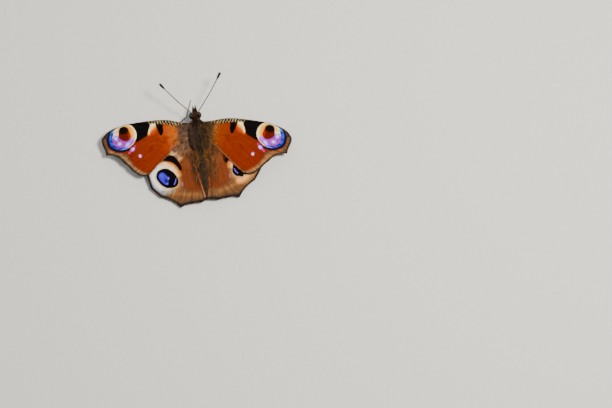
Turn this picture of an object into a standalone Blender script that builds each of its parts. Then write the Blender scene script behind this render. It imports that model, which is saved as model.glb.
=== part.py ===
"""European peacock butterfly at rest with its wings spread, life size, as a still model.

Metres, +Z up. The head points along -Y, the animal's left is +X, and its feet stand on Z = 0.
Each named object is one part of the body: head, thorax, abdomen, eyes, antennae, palps,
proboscis, six legs and four wings. Driving sizes are given in millimetres.
"""

from math import cos, hypot, pi, radians, sin

import bmesh
import bpy
from mathutils import Matrix, Vector

MM = 0.001
LEFT = 1
RIGHT = -1
SIDE_NAMES = {LEFT: "left", RIGHT: "right"}

# Room kept between neighbouring parts.
GAP = 0.3
EYE_GAP = 0.2

# Body: centres and half sizes along X, Y and Z, out to the tips of the hair.
THORAX_FRONT = (0.0, -3.75, 4.5)
THORAX_BACK = (0.0, 5.3, 4.2)
THORAX_HALF_WIDTH = 2.6
THORAX_HALF_HEIGHT = 2.5
THORAX_BLUNTNESS = 2.6
HEAD_CENTRE = (0.0, -5.05, 4.55)
HEAD_HALF = (1.45, 1.4, 1.45)
EYE_CENTRE = (1.22, -5.15, 4.72)
EYE_HALF = (0.72, 0.98, 1.12)
ABDOMEN_FRONT = (0.0, 4.2, 4.45)
ABDOMEN_TIP = (0.0, 18.2, 2.9)
ABDOMEN_HALF_WIDTH = 1.8
ABDOMEN_HALF_HEIGHT = 1.75
ABDOMEN_RINGS = 8
ABDOMEN_GROOVE = 0.05
ABDOMEN_FULL_AT = 0.3
ABDOMEN_TAPER = 0.78
ABDOMEN_END_ROUND = 0.06

# Mouthparts: two palps reach forward and up over a coiled tongue.
PALP_ROOT = (0.58, -6.1, 3.75)
PALP_TIP = (0.46, -8.35, 5.0)
PALP_HALF_WIDTH = 0.4
PALP_HALF_HEIGHT = 0.5
COIL_CENTRE = (0.0, -6.35, 2.35)
COIL_OUTER = 0.95
COIL_INNER = 0.38
COIL_TURNS = 1.15
TONGUE_RADIUS = 0.25
STEPS_PER_TONGUE = 20

# Antennae: root and tip of each, a slight outward bow, and a club at the end.
ANTENNA_ROOT = (0.72, -5.45, 5.9)
ANTENNA_TIPS = {LEFT: (9.2, -15.2, 9.9), RIGHT: (-9.5, -16.25, 8.9)}
ANTENNA_BOW = 0.35
ANTENNA_RADIUS = 0.25
CLUB_RADIUS = 0.38
CLUB_START = 0.86
CLUB_ROUND = 0.84
STEPS_PER_ANTENNA = 16

# Wings: hinge, fall outwards and rearwards in degrees, the sweep of each side rearwards, and how
# far the inner edge bows out.
WING_THICKNESS = 0.5
WING_FLUTE = 0.16
FOREWING_HINGE = (2.0, -2.0, 5.8)
FOREWING_DROOP = 5.0
FOREWING_PITCH = 5.0
FOREWING_ARCH = 0.4
FOREWING_SWEEP = {LEFT: 0.0, RIGHT: 17.6}
FOREWING_ROOT = ((2.9, -2.7), (2.9, 1.0))
FOREWING_INNER_BOW = {LEFT: -0.3, RIGHT: 0.6}
HINDWING_HINGE = (1.7, 2.4, 4.7)
HINDWING_DROOP = 5.0
HINDWING_PITCH = 9.0
HINDWING_ARCH = 0.3
HINDWING_SWEEP = {LEFT: 0.0, RIGHT: -3.4}
HINDWING_ROOT = ((3.05, 2.3), (3.0, 6.2))
HINDWING_INNER_BOW = -0.4
RINGS_ROOT_TO_MARGIN = 6
STEPS_BETWEEN_VEINS = 3

# Where each vein reaches the wing's edge, outwards and rearwards from the hinge, and how far
# the edge before it bows out (or, below zero, is scalloped in). The last one ends the inner edge.
FOREWING_EDGE = {
    "shoulder": ((2.8, -1.3), 0.0),
    "costa": ((8.7, -3.25), 0.3),
    "subcosta": ((14.7, -3.65), 0.1),
    "radius_1": ((18.6, -3.65), 0.08),
    "radius_2": ((22.3, -3.25), 0.12),
    "radius_3": ((25.2, -2.2), 0.15),
    "radius_4": ((27.1, -0.3), 0.2),
    "radius_5": ((26.95, 1.6), 0.12),
    "median_1": ((26.4, 4.6), -0.08),
    "median_2": ((23.5, 5.45), -0.18),
    "median_3": ((21.4, 7.75), -0.14),
    "cubitus_1": ((19.55, 10.2), -0.12),
    "cubitus_2": ((17.6, 12.15), 0.05),
    "tornus": ((15.4, 12.8), 0.2),
}
HINDWING_EDGE = {
    "humeral": ((4.6, -1.0), 0.2),
    "costa": ((10.5, -0.2), 0.25),
    "subcosta": ((14.3, 3.2), 0.4),
    "radial_sector": ((15.5, 8.2), 0.25),
    "median_1": ((14.9, 12.3), 0.1),
    "median_2": ((12.4, 15.25), 0.12),
    "median_3": ((6.9, 19.45), -0.5),
    "cubitus_1": ((3.3, 18.75), -0.3),
    "cubitus_2": ((0.65, 18.85), -0.08),
    "anal_2": ((-1.25, 18.1), 0.05),
}
# An edge point that stays beside the abdomen however far the wing is swept.
HELD_BY_BODY = "anal_2"

# Legs: hip, knee, ankle and toe. The front pair is alike on both sides. The left middle leg
# reaches past the head.
FORELEG = ((0.8, -2.2, 2.5), (1.25, -4.1, 1.3), (0.95, -5.15, 2.0), (0.85, -5.0, 2.9))
STANDING_LEGS = {
    "midleg_left": ((1.2, -0.6, 2.3), (5.3, -3.6, 3.7), (2.75, -6.35, 0.6), (0.85, -11.4, 0.22)),
    "midleg_right": ((-1.2, -0.6, 2.3), (-5.6, -1.5, 3.8), (-8.5, -2.7, 0.55), (-13.2, -1.6, 0.22)),
    "hindleg_left": ((1.2, 2.4, 2.3), (5.4, 6.0, 2.75), (7.5, 10.3, 0.5), (9.3, 14.9, 0.22)),
    "hindleg_right": ((-1.2, 2.4, 2.3), (-5.6, 5.8, 2.75), (-7.9, 10.0, 0.5), (-9.2, 14.8, 0.22)),
}
FEMUR_RADIUS = 0.42
KNEE_RADIUS = 0.3
TARSUS_RADIUS = 0.26
CLAW_RADIUS = 0.2
BONE_SWELL = 0.06
STEPS_PER_LEG_BONE = 4

# The form that keeps the feet flat on the floor.
FLOOR_SPAN = 60.0
FLOOR_DEPTH = 2.0

# Colour, roughness and metallic value of each material.
FINISHES = {
    "brown_fur": ((0.055, 0.034, 0.018), 0.9, 0.0),
    "eye_brown": ((0.03, 0.014, 0.01), 0.25, 0.0),
    "antenna_brown": ((0.09, 0.06, 0.045), 0.5, 0.0),
    "leg_brown": ((0.05, 0.033, 0.024), 0.6, 0.0),
    "tongue_brown": ((0.06, 0.03, 0.015), 0.4, 0.0),
    "forewing_red": ((0.42, 0.075, 0.012), 0.8, 0.0),
    "hindwing_brown": ((0.3, 0.1, 0.03), 0.8, 0.0),
}


def clear_scene():
    """Remove every object, so that the script can run from any open file."""
    for thing in list(bpy.data.objects):
        bpy.data.objects.remove(thing, do_unlink=True)


def new_collection(name):
    """Add a collection of this name to the scene."""
    collection = bpy.data.collections.new(name)
    bpy.context.scene.collection.children.link(collection)
    return collection


def new_material(part, finish):
    """Give a part its own Principled material."""
    colour, roughness, metallic = FINISHES[finish]
    material = bpy.data.materials.new(part.name + "_" + finish)
    material.use_nodes = True
    shader = material.node_tree.nodes["Principled BSDF"]
    shader.inputs["Base Color"].default_value = (*colour, 1.0)
    shader.inputs["Roughness"].default_value = roughness
    shader.inputs["Metallic"].default_value = metallic
    part.data.materials.clear()
    part.data.materials.append(material)


def mesh_object(name, bm, collection):
    """Turn a bmesh drawn in millimetres into a smooth object in metres."""
    bmesh.ops.scale(bm, vec=(MM, MM, MM), verts=bm.verts)
    bmesh.ops.recalc_face_normals(bm, faces=bm.faces)
    mesh = bpy.data.meshes.new(name)
    bm.to_mesh(mesh)
    bm.free()
    mesh.shade_smooth()
    piece = bpy.data.objects.new(name, mesh)
    collection.objects.link(piece)
    return piece


def mirrored(point, side):
    """The same point on the chosen side of the body."""
    return Vector((point[0] * side, point[1], point[2]))


def ellipsoid(name, centre, half, collection, grow=0.0, around=20, along=12):
    """A ball stretched to three half sizes, each made larger by grow."""
    bm = bmesh.new()
    bmesh.ops.create_uvsphere(bm, u_segments=around, v_segments=along, radius=1.0)
    bmesh.ops.rotate(bm, cent=(0, 0, 0), matrix=Matrix.Rotation(pi / 2, 3, "X"), verts=bm.verts)
    bmesh.ops.scale(bm, vec=[size + grow for size in half], verts=bm.verts)
    bmesh.ops.translate(bm, vec=centre, verts=bm.verts)
    return mesh_object(name, bm, collection)


def spindle(name, start, end, half_width, half_height, swell, collection, grow=0.0, around=12, along=12):
    """A form drawn from start to end, whose cross section is scaled by swell(fraction)."""
    bm = bmesh.new()
    bmesh.ops.create_uvsphere(bm, u_segments=around, v_segments=along, radius=1.0)
    direction = (Vector(end) - Vector(start)).normalized()
    start = Vector(start) - direction * grow
    axis = Vector(end) + direction * grow - start
    turn = axis.to_track_quat("Z", "Y")
    for vert in bm.verts:
        fraction = (vert.co.z + 1.0) / 2.0
        reach = hypot(vert.co.x, vert.co.y)
        width = swell(fraction) / reach if reach > 1e-6 else 0.0
        flat = Vector((vert.co.x * (half_width + grow), vert.co.y * (half_height + grow), 0.0))
        vert.co = start + axis * fraction + turn @ (flat * width)
    return mesh_object(name, bm, collection)


def thorax_swell(fraction):
    """Width of the thorax, blunt at both ends."""
    return max(0.0, 1.0 - abs(2.0 * fraction - 1.0) ** THORAX_BLUNTNESS) ** 0.5


def abdomen_swell(fraction):
    """Width of the abdomen from its front to its tip, with a groove between its rings."""
    body = (1.0 - (1.0 - min(fraction / ABDOMEN_FULL_AT, 1.0)) ** 2) ** 0.5
    taper = 1.0 - ABDOMEN_TAPER * max(0.0, (fraction - ABDOMEN_FULL_AT) / (1.0 - ABDOMEN_FULL_AT)) ** 1.5
    end = min(1.0, (1.0 - fraction) / ABDOMEN_END_ROUND) ** 0.5
    groove = 1.0 - ABDOMEN_GROOVE * abs(cos(pi * ABDOMEN_RINGS * fraction)) ** 4
    return body * taper * end * groove


def palp_swell(fraction):
    """Width of a palp: full near its middle and drawn out to a blunt point."""
    return sin(pi * fraction ** 0.8) ** 0.6


def tube(name, points, radii, collection, sides=2):
    """A closed tube through the points, with its own radius at each of them."""
    curve = bpy.data.curves.new(name, "CURVE")
    curve.dimensions = "3D"
    curve.bevel_depth = MM
    curve.bevel_resolution = sides
    curve.use_fill_caps = True
    spline = curve.splines.new("POLY")
    spline.points.add(len(points) - 1)
    for knot, point, radius in zip(spline.points, points, radii):
        knot.co = (*(Vector(point) * MM), 1.0)
        knot.radius = radius
    piece = bpy.data.objects.new(name, curve)
    collection.objects.link(piece)
    return piece


def as_mesh(piece, collection):
    """Replace a curve by the mesh it draws, with its end caps welded on."""
    name = piece.name
    evaluated = piece.evaluated_get(bpy.context.evaluated_depsgraph_get())
    mesh = bpy.data.meshes.new_from_object(evaluated)
    matrix = piece.matrix_world.copy()
    bpy.data.objects.remove(piece, do_unlink=True)
    bm = bmesh.new()
    bm.from_mesh(mesh)
    bmesh.ops.remove_doubles(bm, verts=bm.verts, dist=0.001 * MM)
    bm.to_mesh(mesh)
    bm.free()
    mesh.shade_smooth()
    solid = bpy.data.objects.new(name, mesh)
    solid.matrix_world = matrix
    collection.objects.link(solid)
    return solid


def cut_away(piece, cutter):
    """Take the cutter's volume off a piece."""
    cut = piece.modifiers.new("room_for_" + cutter.name, "BOOLEAN")
    cut.operation = "DIFFERENCE"
    cut.solver = "EXACT"
    cut.object = cutter


def as_cutter(piece):
    """Mark an object as a cutting form that isn't part of the model."""
    piece.hide_render = True
    piece.display_type = "WIRE"
    return piece


def bowed(start, end, bow, fraction):
    """A point on a shallow arc from start to end, which stands out by bow at its middle."""
    outward = Vector((end.y - start.y, start.x - end.x)).normalized()
    return start.lerp(end, fraction) + outward * (4.0 * bow * fraction * (1.0 - fraction))


def edge_stations(edge, first, in_plane):
    """Points along a wing's edge, each with how deep it lies between its two veins."""
    stations = []
    previous = Vector(first)
    for vein, (end, bow) in edge.items():
        end = Vector(end) @ in_plane if vein == HELD_BY_BODY else Vector(end)
        for step in range(STEPS_BETWEEN_VEINS):
            fraction = step / STEPS_BETWEEN_VEINS
            stations.append((bowed(previous, end, bow, fraction), sin(pi * fraction)))
        previous = end
    stations.append((previous, 0.0))
    return stations


def wing(name, side, hinge, droop, pitch, sweep, arch, root, edge, inner_bow, collection):
    """A thin plate that runs from the wing's root to its scalloped edge.

    The plate follows the wing's plane, arched along its length, and sinks a little between veins.
    Its columns run straight from the root to the edge, and lean towards the bowed inner edge.
    """
    hinge = mirrored(hinge, side)
    outward = Vector((side * cos(radians(droop)), 0.0, -sin(radians(droop))))
    rearward = Vector((0.0, cos(radians(pitch)), -sin(radians(pitch))))
    rearward = (rearward - outward * rearward.dot(outward)).normalized()
    upward = outward.cross(rearward).normalized() * side
    turn = radians(sweep)
    along = outward * cos(turn) + rearward * sin(turn)
    across = rearward * cos(turn) - outward * sin(turn)

    root_ends = [Vector(((x - abs(hinge.x)), y - hinge.y)) for x, y in root]
    in_plane = Matrix.Rotation(turn, 2)
    front, rear = [end @ in_plane for end in root_ends]
    stations = edge_stations(edge, front, in_plane)
    last = len(stations) - 1
    inner_end = stations[last][0]

    bm = bmesh.new()
    bmesh.ops.create_grid(bm, x_segments=last, y_segments=RINGS_ROOT_TO_MARGIN, size=0.5)
    for vert in bm.verts:
        column = round((vert.co.x + 0.5) * last)
        fraction = min(vert.co.y + 0.5, 1.0)
        margin, sink = stations[column]
        lean = bowed(inner_end, rear, inner_bow, 1.0 - fraction) - rear.lerp(inner_end, fraction)
        flat = front.lerp(rear, column / last).lerp(margin, fraction) + lean * (column / last) ** 3
        height = arch * sin(pi * fraction) - WING_FLUTE * sink * fraction ** 2
        vert.co = hinge + along * flat.x + across * flat.y + upward * height
    plate = mesh_object(name, bm, collection)
    shell = plate.modifiers.new("thickness", "SOLIDIFY")
    shell.thickness = WING_THICKNESS * MM
    shell.offset = 0.0
    return plate


def leg(name, joints, collection, cutters):
    """A leg from hip to toe, whose foot has a small flat on the floor."""
    radii_at_joints = (FEMUR_RADIUS, KNEE_RADIUS, TARSUS_RADIUS, CLAW_RADIUS)
    points = []
    radii = []
    for bone in range(3):
        for step in range(STEPS_PER_LEG_BONE):
            fraction = step / STEPS_PER_LEG_BONE
            taper = radii_at_joints[bone] * (1.0 - fraction) + radii_at_joints[bone + 1] * fraction
            points.append(Vector(joints[bone]).lerp(Vector(joints[bone + 1]), fraction))
            radii.append(taper + BONE_SWELL * sin(pi * fraction))
    points.append(Vector(joints[3]))
    radii.append(radii_at_joints[3])
    limb = as_mesh(tube(name, points, radii, collection), collection)
    for cutter in cutters:
        cut_away(limb, cutter)
    return limb


def antenna(name, side, collection):
    """A thin shaft that bows a little and ends in a club."""
    root = mirrored(ANTENNA_ROOT, side)
    tip = Vector(ANTENNA_TIPS[side])
    sideways = Vector((side, 0.0, 0.0))
    points = []
    radii = []
    for step in range(STEPS_PER_ANTENNA + 1):
        fraction = step / STEPS_PER_ANTENNA
        club = max(0.0, (fraction - CLUB_START) / (1.0 - CLUB_START))
        points.append(root.lerp(tip, fraction) + sideways * (ANTENNA_BOW * sin(pi * fraction)))
        radii.append(ANTENNA_RADIUS + (CLUB_RADIUS - ANTENNA_RADIUS) * sin(pi * CLUB_ROUND * club))
    return tube(name, points, radii, collection, sides=1)


def proboscis(name, collection):
    """The tongue, coiled like a watch spring under the head."""
    centre = Vector(COIL_CENTRE)
    points = []
    for step in range(STEPS_PER_TONGUE + 1):
        fraction = step / STEPS_PER_TONGUE
        angle = pi / 2 + 2 * pi * COIL_TURNS * fraction
        radius = COIL_OUTER + (COIL_INNER - COIL_OUTER) * fraction
        points.append(centre + Vector((0.0, radius * cos(angle), radius * sin(angle))))
    radii = [TONGUE_RADIUS] * len(points)
    return tube(name, points, radii, collection, sides=1)


def build_body(parts, cutters):
    """Thorax, abdomen, head, eyes and mouthparts."""
    thorax = spindle("thorax", THORAX_FRONT, THORAX_BACK, THORAX_HALF_WIDTH, THORAX_HALF_HEIGHT,
                     thorax_swell, parts, around=24, along=16)
    new_material(thorax, "brown_fur")
    around_thorax = as_cutter(
        spindle("around_thorax", THORAX_FRONT, THORAX_BACK, THORAX_HALF_WIDTH, THORAX_HALF_HEIGHT,
                thorax_swell, cutters, grow=GAP, around=24, along=16))

    abdomen = spindle("abdomen", ABDOMEN_FRONT, ABDOMEN_TIP, ABDOMEN_HALF_WIDTH, ABDOMEN_HALF_HEIGHT,
                      abdomen_swell, parts, around=16, along=28)
    new_material(abdomen, "brown_fur")
    cut_away(abdomen, around_thorax)

    head = ellipsoid("head", HEAD_CENTRE, HEAD_HALF, parts, around=20, along=12)
    new_material(head, "brown_fur")
    cut_away(head, around_thorax)
    around_head = as_cutter(ellipsoid("around_head", HEAD_CENTRE, HEAD_HALF, cutters, grow=EYE_GAP))

    for side, side_name in SIDE_NAMES.items():
        place = mirrored(EYE_CENTRE, side)
        eye = ellipsoid("eye_" + side_name, place, EYE_HALF, parts, around=16, along=10)
        new_material(eye, "eye_brown")
        around_eye = as_cutter(ellipsoid("around_eye_" + side_name, place, EYE_HALF, cutters, grow=EYE_GAP))
        cut_away(head, around_eye)

        palp = spindle("palp_" + side_name, mirrored(PALP_ROOT, side), mirrored(PALP_TIP, side),
                       PALP_HALF_WIDTH, PALP_HALF_HEIGHT, palp_swell, parts, around=10, along=8)
        new_material(palp, "brown_fur")
        cut_away(palp, around_head)

        feeler = antenna("antenna_" + side_name, side, parts)
        new_material(feeler, "antenna_brown")

    tongue = proboscis("proboscis", parts)
    new_material(tongue, "tongue_brown")
    return around_thorax


def build_legs(parts, cutters, around_thorax):
    """Six legs: the short front pair is folded up, the other four stand on the floor."""
    bm = bmesh.new()
    bmesh.ops.create_cube(bm, size=1.0)
    bmesh.ops.scale(bm, vec=(FLOOR_SPAN, FLOOR_SPAN, FLOOR_DEPTH), verts=bm.verts)
    bmesh.ops.translate(bm, vec=(0.0, 0.0, -FLOOR_DEPTH / 2), verts=bm.verts)
    below_floor = as_cutter(mesh_object("below_floor", bm, cutters))
    legs = dict(STANDING_LEGS)
    for side, side_name in SIDE_NAMES.items():
        legs["foreleg_" + side_name] = [mirrored(joint, side) for joint in FORELEG]
    for name, joints in legs.items():
        limb = leg(name, joints, parts, (around_thorax, below_floor))
        new_material(limb, "leg_brown")


def build_wings(parts):
    """The two pairs of wings, each hinged at the thorax."""
    for side, side_name in SIDE_NAMES.items():
        forewing = wing("forewing_" + side_name, side, FOREWING_HINGE, FOREWING_DROOP, FOREWING_PITCH,
                        FOREWING_SWEEP[side], FOREWING_ARCH, FOREWING_ROOT, FOREWING_EDGE,
                        FOREWING_INNER_BOW[side], parts)
        new_material(forewing, "forewing_red")
        hindwing = wing("hindwing_" + side_name, side, HINDWING_HINGE, HINDWING_DROOP, HINDWING_PITCH,
                        HINDWING_SWEEP[side], HINDWING_ARCH, HINDWING_ROOT, HINDWING_EDGE,
                        HINDWING_INNER_BOW, parts)
        new_material(hindwing, "hindwing_brown")


def stand_on_origin(parts, cutters):
    """Move the whole model so that the origin is the middle of the floor under it."""
    bpy.context.view_layer.update()
    depsgraph = bpy.context.evaluated_depsgraph_get()
    corners = []
    for piece in parts.objects:
        solid = piece.evaluated_get(depsgraph).to_mesh()
        corners += [piece.matrix_world @ vert.co for vert in solid.vertices]
    low_x, high_x = min(c.x for c in corners), max(c.x for c in corners)
    low_y, high_y = min(c.y for c in corners), max(c.y for c in corners)
    seat = bpy.data.objects.new("peacock_butterfly_seat", None)
    seat.location = (-(low_x + high_x) / 2, -(low_y + high_y) / 2, 0.0)
    parts.objects.link(seat)
    for piece in list(parts.objects) + list(cutters.objects):
        if piece is not seat:
            piece.parent = seat


def main():
    """Build the butterfly from its body outwards."""
    clear_scene()
    parts = new_collection("peacock_butterfly")
    cutters = new_collection("cutters")
    around_thorax = build_body(parts, cutters)
    build_legs(parts, cutters, around_thorax)
    build_wings(parts)
    stand_on_origin(parts, cutters)


main()
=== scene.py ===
"""Peacock butterfly at rest with its wings spread, dressed for a museum case.

The animal is made of a body under one skin, a coat of hair, four scaled wings, two eyes, two
antennae, a coiled tongue and six legs. Sizes are in millimetres in the animal's own axes: the
head points along -Y, its left is +X, and its feet stand on Z = 0. `Seat` moves every piece to
the frame of the model, in metres.
"""

import logging
from collections.abc import Callable, Sequence
from dataclasses import dataclass
from enum import Enum
from math import cos, hypot, pi, radians, sin

import bmesh
import bpy
import numpy as np
from bmesh.types import BMesh, BMFace, BMVert
from bpy.types import Material, Mesh, Node, NodeSocket, Object
from mathutils import Matrix, Vector


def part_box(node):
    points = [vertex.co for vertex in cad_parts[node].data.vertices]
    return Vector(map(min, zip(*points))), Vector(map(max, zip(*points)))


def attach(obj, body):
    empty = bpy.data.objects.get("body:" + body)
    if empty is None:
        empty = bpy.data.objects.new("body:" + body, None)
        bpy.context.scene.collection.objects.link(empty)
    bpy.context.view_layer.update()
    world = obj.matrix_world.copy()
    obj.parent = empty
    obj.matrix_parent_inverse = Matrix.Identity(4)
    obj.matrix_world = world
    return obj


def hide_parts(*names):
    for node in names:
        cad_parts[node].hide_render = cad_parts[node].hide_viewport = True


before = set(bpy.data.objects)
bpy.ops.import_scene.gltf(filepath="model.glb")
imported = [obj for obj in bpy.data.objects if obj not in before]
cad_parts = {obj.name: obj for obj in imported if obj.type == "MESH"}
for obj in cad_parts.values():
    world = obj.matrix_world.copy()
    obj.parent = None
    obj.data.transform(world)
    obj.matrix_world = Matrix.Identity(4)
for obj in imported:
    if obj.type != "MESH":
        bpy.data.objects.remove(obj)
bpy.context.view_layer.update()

MM = 0.001
BODY = "root"
BAKE_MAP = "OFBake"

Colour = tuple[float, float, float]
Point2 = tuple[float, float]
Point3 = tuple[float, float, float]
Array = np.ndarray
Value = NodeSocket | float
Tint = NodeSocket | Colour
Rod = tuple[list[Vector], list[float]]

log = logging.getLogger("butterfly")


# ---- choices and small helpers


class Side(Enum):
    """A side of the animal, with the sign of its X."""

    LEFT = 1
    RIGHT = -1

    @property
    def word(self) -> str:
        """The side's name in lower case."""
        return self.name.lower()


class Slot(Enum):
    """The record's material slots."""

    FUR = "fur"
    EYE = "eye"
    ANTENNA = "antenna"
    LEG = "leg"
    TONGUE = "tongue"
    FOREWING = "forewing"
    HINDWING = "hindwing"


class Face(Enum):
    """The two faces of a wing."""

    UPPER = 1
    LOWER = 0


def tone(red: int, green: int, blue: int) -> Colour:
    """A linear colour from the 0 to 255 values that a colour picker shows."""
    parts = [value / 255 for value in (red, green, blue)]
    return tuple(p / 12.92 if p <= 0.04045 else ((p + 0.055) / 1.055) ** 2.4 for p in parts)


def ease(values: Array | float, low: float, high: float) -> Array:
    """A smooth step from 0 at low to 1 at high."""
    share = np.clip((np.asarray(values, float) - low) / (high - low), 0.0, 1.0)
    return share * share * (3.0 - 2.0 * share)


def fade(values: Array | float, low: float, high: float) -> Array:
    """A smooth step from 1 at low to 0 at high."""
    return 1.0 - ease(values, low, high)


def unit(vectors: Array) -> Array:
    """Vectors of length one, row by row."""
    return vectors / np.maximum(np.linalg.norm(vectors, axis=-1, keepdims=True), 1e-9)


def mirrored(point: Point3, side: Side) -> Vector:
    """The same point on the chosen side of the body."""
    return Vector((point[0] * side.value, point[1], point[2]))


def bowed(start: Array, end: Array, bow: float, share: Array) -> Array:
    """Points on a shallow arc from start to end that stands out by bow at its middle.

    Args:
        start: Where the arc starts.
        end: Where the arc ends.
        bow: How far its middle stands out to the right of the way from start to end.
        share: How far along the arc each point is, from 0 to 1.

    Returns:
        One row of x and y for each share.
    """
    step = end - start
    outward = np.array((step[1], -step[0])) / np.linalg.norm(step)
    share = np.asarray(share, float)[..., None]
    return start + step * share + outward * (4.0 * bow * share * (1.0 - share))


@dataclass(frozen=True)
class Seat:
    """The move from the animal's own axes, in millimetres, to the model's frame, in metres."""

    shift: Vector

    @classmethod
    def from_eyes(cls, centre: Point3) -> "Seat":
        """Find the move from where the two eyes sit in the frame.

        Args:
            centre: The left eye's centre in the animal's own axes.

        Returns:
            The seat of the whole animal.
        """
        corners = [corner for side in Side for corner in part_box("eye_" + side.word)]
        middle = sum(corners, Vector()) / len(corners)
        return cls(middle - Vector((0.0, centre[1], centre[2])) * MM)

    def points(self, places: Array) -> Array:
        """Places in millimetres as points of the frame."""
        return np.asarray(places, float) * MM + np.array(self.shift)

    def point(self, place: Sequence[float]) -> Vector:
        """One place in millimetres as a point of the frame."""
        return Vector(place) * MM + self.shift


# ---- meshes


def new_object(name: str, mesh: Mesh) -> Object:
    """Link a smooth mesh as an object of this name.

    Args:
        name: The object's name.
        mesh: Its mesh, in the frame.

    Returns:
        The new object.
    """
    mesh.shade_smooth()
    piece = bpy.data.objects.new(name, mesh)
    bpy.context.scene.collection.objects.link(piece)
    return piece


def settle(piece: Object, nodes: Sequence[str] = ()) -> Object:
    """Make a piece ride on the body, and hide the nodes of the frame that it stands for.

    Args:
        piece: The finished piece.
        nodes: The nodes of the frame that it replaces.

    Returns:
        The same piece.
    """
    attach(piece, BODY)
    if nodes:
        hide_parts(*nodes)
    log.info("%s: %d faces", piece.name, len(piece.data.polygons))
    return piece


def finished(bm: BMesh, name: str, seat: Seat, turn_out: bool = True) -> Object:
    """Turn a bmesh drawn in millimetres into an object in the frame.

    Args:
        bm: The mesh, which is freed.
        name: The object's name.
        seat: The move to the frame.
        turn_out: Whether to turn its faces outwards.

    Returns:
        The new object.
    """
    bmesh.ops.scale(bm, vec=(MM, MM, MM), verts=bm.verts)
    bmesh.ops.translate(bm, vec=seat.shift, verts=bm.verts)
    if turn_out:
        bmesh.ops.recalc_face_normals(bm, faces=bm.faces)
    mesh = bpy.data.meshes.new(name)
    bm.to_mesh(mesh)
    bm.free()
    return new_object(name, mesh)


def write_floats(mesh: Mesh, name: str, values: Array) -> None:
    """Store one number for each vertex under a name that a material reads."""
    attribute = mesh.attributes.new(name, "FLOAT", "POINT")
    attribute.data.foreach_set("value", np.ascontiguousarray(values, np.float32))


def write_vectors(mesh: Mesh, name: str, values: Array) -> None:
    """Store a vector of three for each vertex under a name that a material reads."""
    attribute = mesh.attributes.new(name, "FLOAT_VECTOR", "POINT")
    attribute.data.foreach_set("vector", np.ascontiguousarray(values, np.float32).ravel())


def lay_bake_map(mesh: Mesh, places: Array) -> None:
    """Add the map that colours are baked on, from one place for each corner of each face."""
    layer = mesh.uv_layers.new(name=BAKE_MAP)
    layer.data.foreach_set("uv", places.astype(np.float32).ravel())


def write_bake_map(mesh: Mesh, at_vertices: Array) -> None:
    """Lay the bake map from one place for each vertex.

    A face that crosses the seam of a round unwrap is kept whole past the map's right edge.

    Args:
        mesh: The mesh that gets the map.
        at_vertices: The place of each vertex on the map, from 0 to 1.
    """
    corners = np.empty(len(mesh.loops), np.int32)
    mesh.loops.foreach_get("vertex_index", corners)
    places = at_vertices[corners].astype(np.float32)
    sides = np.empty(len(mesh.polygons), np.int32)
    mesh.polygons.foreach_get("loop_total", sides)
    face = np.repeat(np.arange(len(sides)), sides)
    starts = np.r_[0, np.cumsum(sides)[:-1]]
    widest = np.maximum.reduceat(places[:, 0], starts)
    torn = (widest - np.minimum.reduceat(places[:, 0], starts)) > 0.5 * places[:, 0].max()
    wrap = torn[face] & (places[:, 0] < 0.5 * widest[face])
    places[wrap, 0] += BodyMap.AROUND
    lay_bake_map(mesh, places)


def sweep(bm: BMesh, path: Sequence[Vector], radii: Sequence[float], sides: int = 10) -> None:
    """Draw a closed rod through a path, drawn out ring by ring from a disc.

    Each new vertex keeps how far along the rod it is, in millimetres, in the layer "run".

    Args:
        bm: The mesh that the rod is added to.
        path: The middle of each ring.
        radii: The radius of each ring.
        sides: How many sides the rod has.
    """
    run = bm.verts.layers.float.get("run") or bm.verts.layers.float.new("run")
    ring = bmesh.ops.create_circle(bm, cap_ends=True, segments=sides, radius=radii[0])["verts"]
    heading = (path[1] - path[0]).normalized()
    bmesh.ops.rotate(bm, cent=(0, 0, 0), matrix=heading.to_track_quat("Z", "Y").to_matrix(), verts=ring)
    bmesh.ops.translate(bm, vec=path[0], verts=ring)
    cap = ring[0].link_faces[0]
    length = 0.0
    for index in range(1, len(path)):
        drawn = bmesh.ops.extrude_face_region(bm, geom=[cap])["geom"]
        ring = [part for part in drawn if isinstance(part, BMVert)]
        cap = next(part for part in drawn if isinstance(part, BMFace))
        onward = path[min(index + 1, len(path) - 1)] - path[index - 1]
        bmesh.ops.translate(bm, vec=path[index] - path[index - 1], verts=ring)
        turn = heading.rotation_difference(onward.normalized()).to_matrix()
        bmesh.ops.rotate(bm, cent=path[index], matrix=turn, verts=ring)
        factor = radii[index] / radii[index - 1]
        bmesh.ops.scale(bm, vec=(factor,) * 3, space=Matrix.Translation(-path[index]), verts=ring)
        heading = onward.normalized()
        length += (path[index] - path[index - 1]).length
        for vert in ring:
            vert[run] = length


def spindle(bm: BMesh, start: Point3, end: Point3, half_width: float, half_height: float,
            swell: Callable[[float], float], around: int = 32, along: int = 40) -> None:
    """Add a round form drawn from start to end, whose cross section follows swell.

    Args:
        bm: The mesh that the form is added to.
        start: One end.
        end: The other end.
        half_width: Half its greatest width.
        half_height: Half its greatest height.
        swell: The share of the greatest width at each fraction of the length.
        around: Sides of its cross section.
        along: Rings along its length.
    """
    verts = bmesh.ops.create_uvsphere(bm, u_segments=around, v_segments=along, radius=1.0)["verts"]
    axis = Vector(end) - Vector(start)
    turn = axis.to_track_quat("Z", "Y")
    for vert in verts:
        share = (vert.co.z + 1.0) / 2.0
        reach = hypot(vert.co.x, vert.co.y)
        width = swell(share) / reach if reach > 1e-6 else 0.0
        flat = Vector((vert.co.x * half_width, vert.co.y * half_height, 0.0))
        vert.co = Vector(start) + axis * share + turn @ (flat * width)


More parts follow.
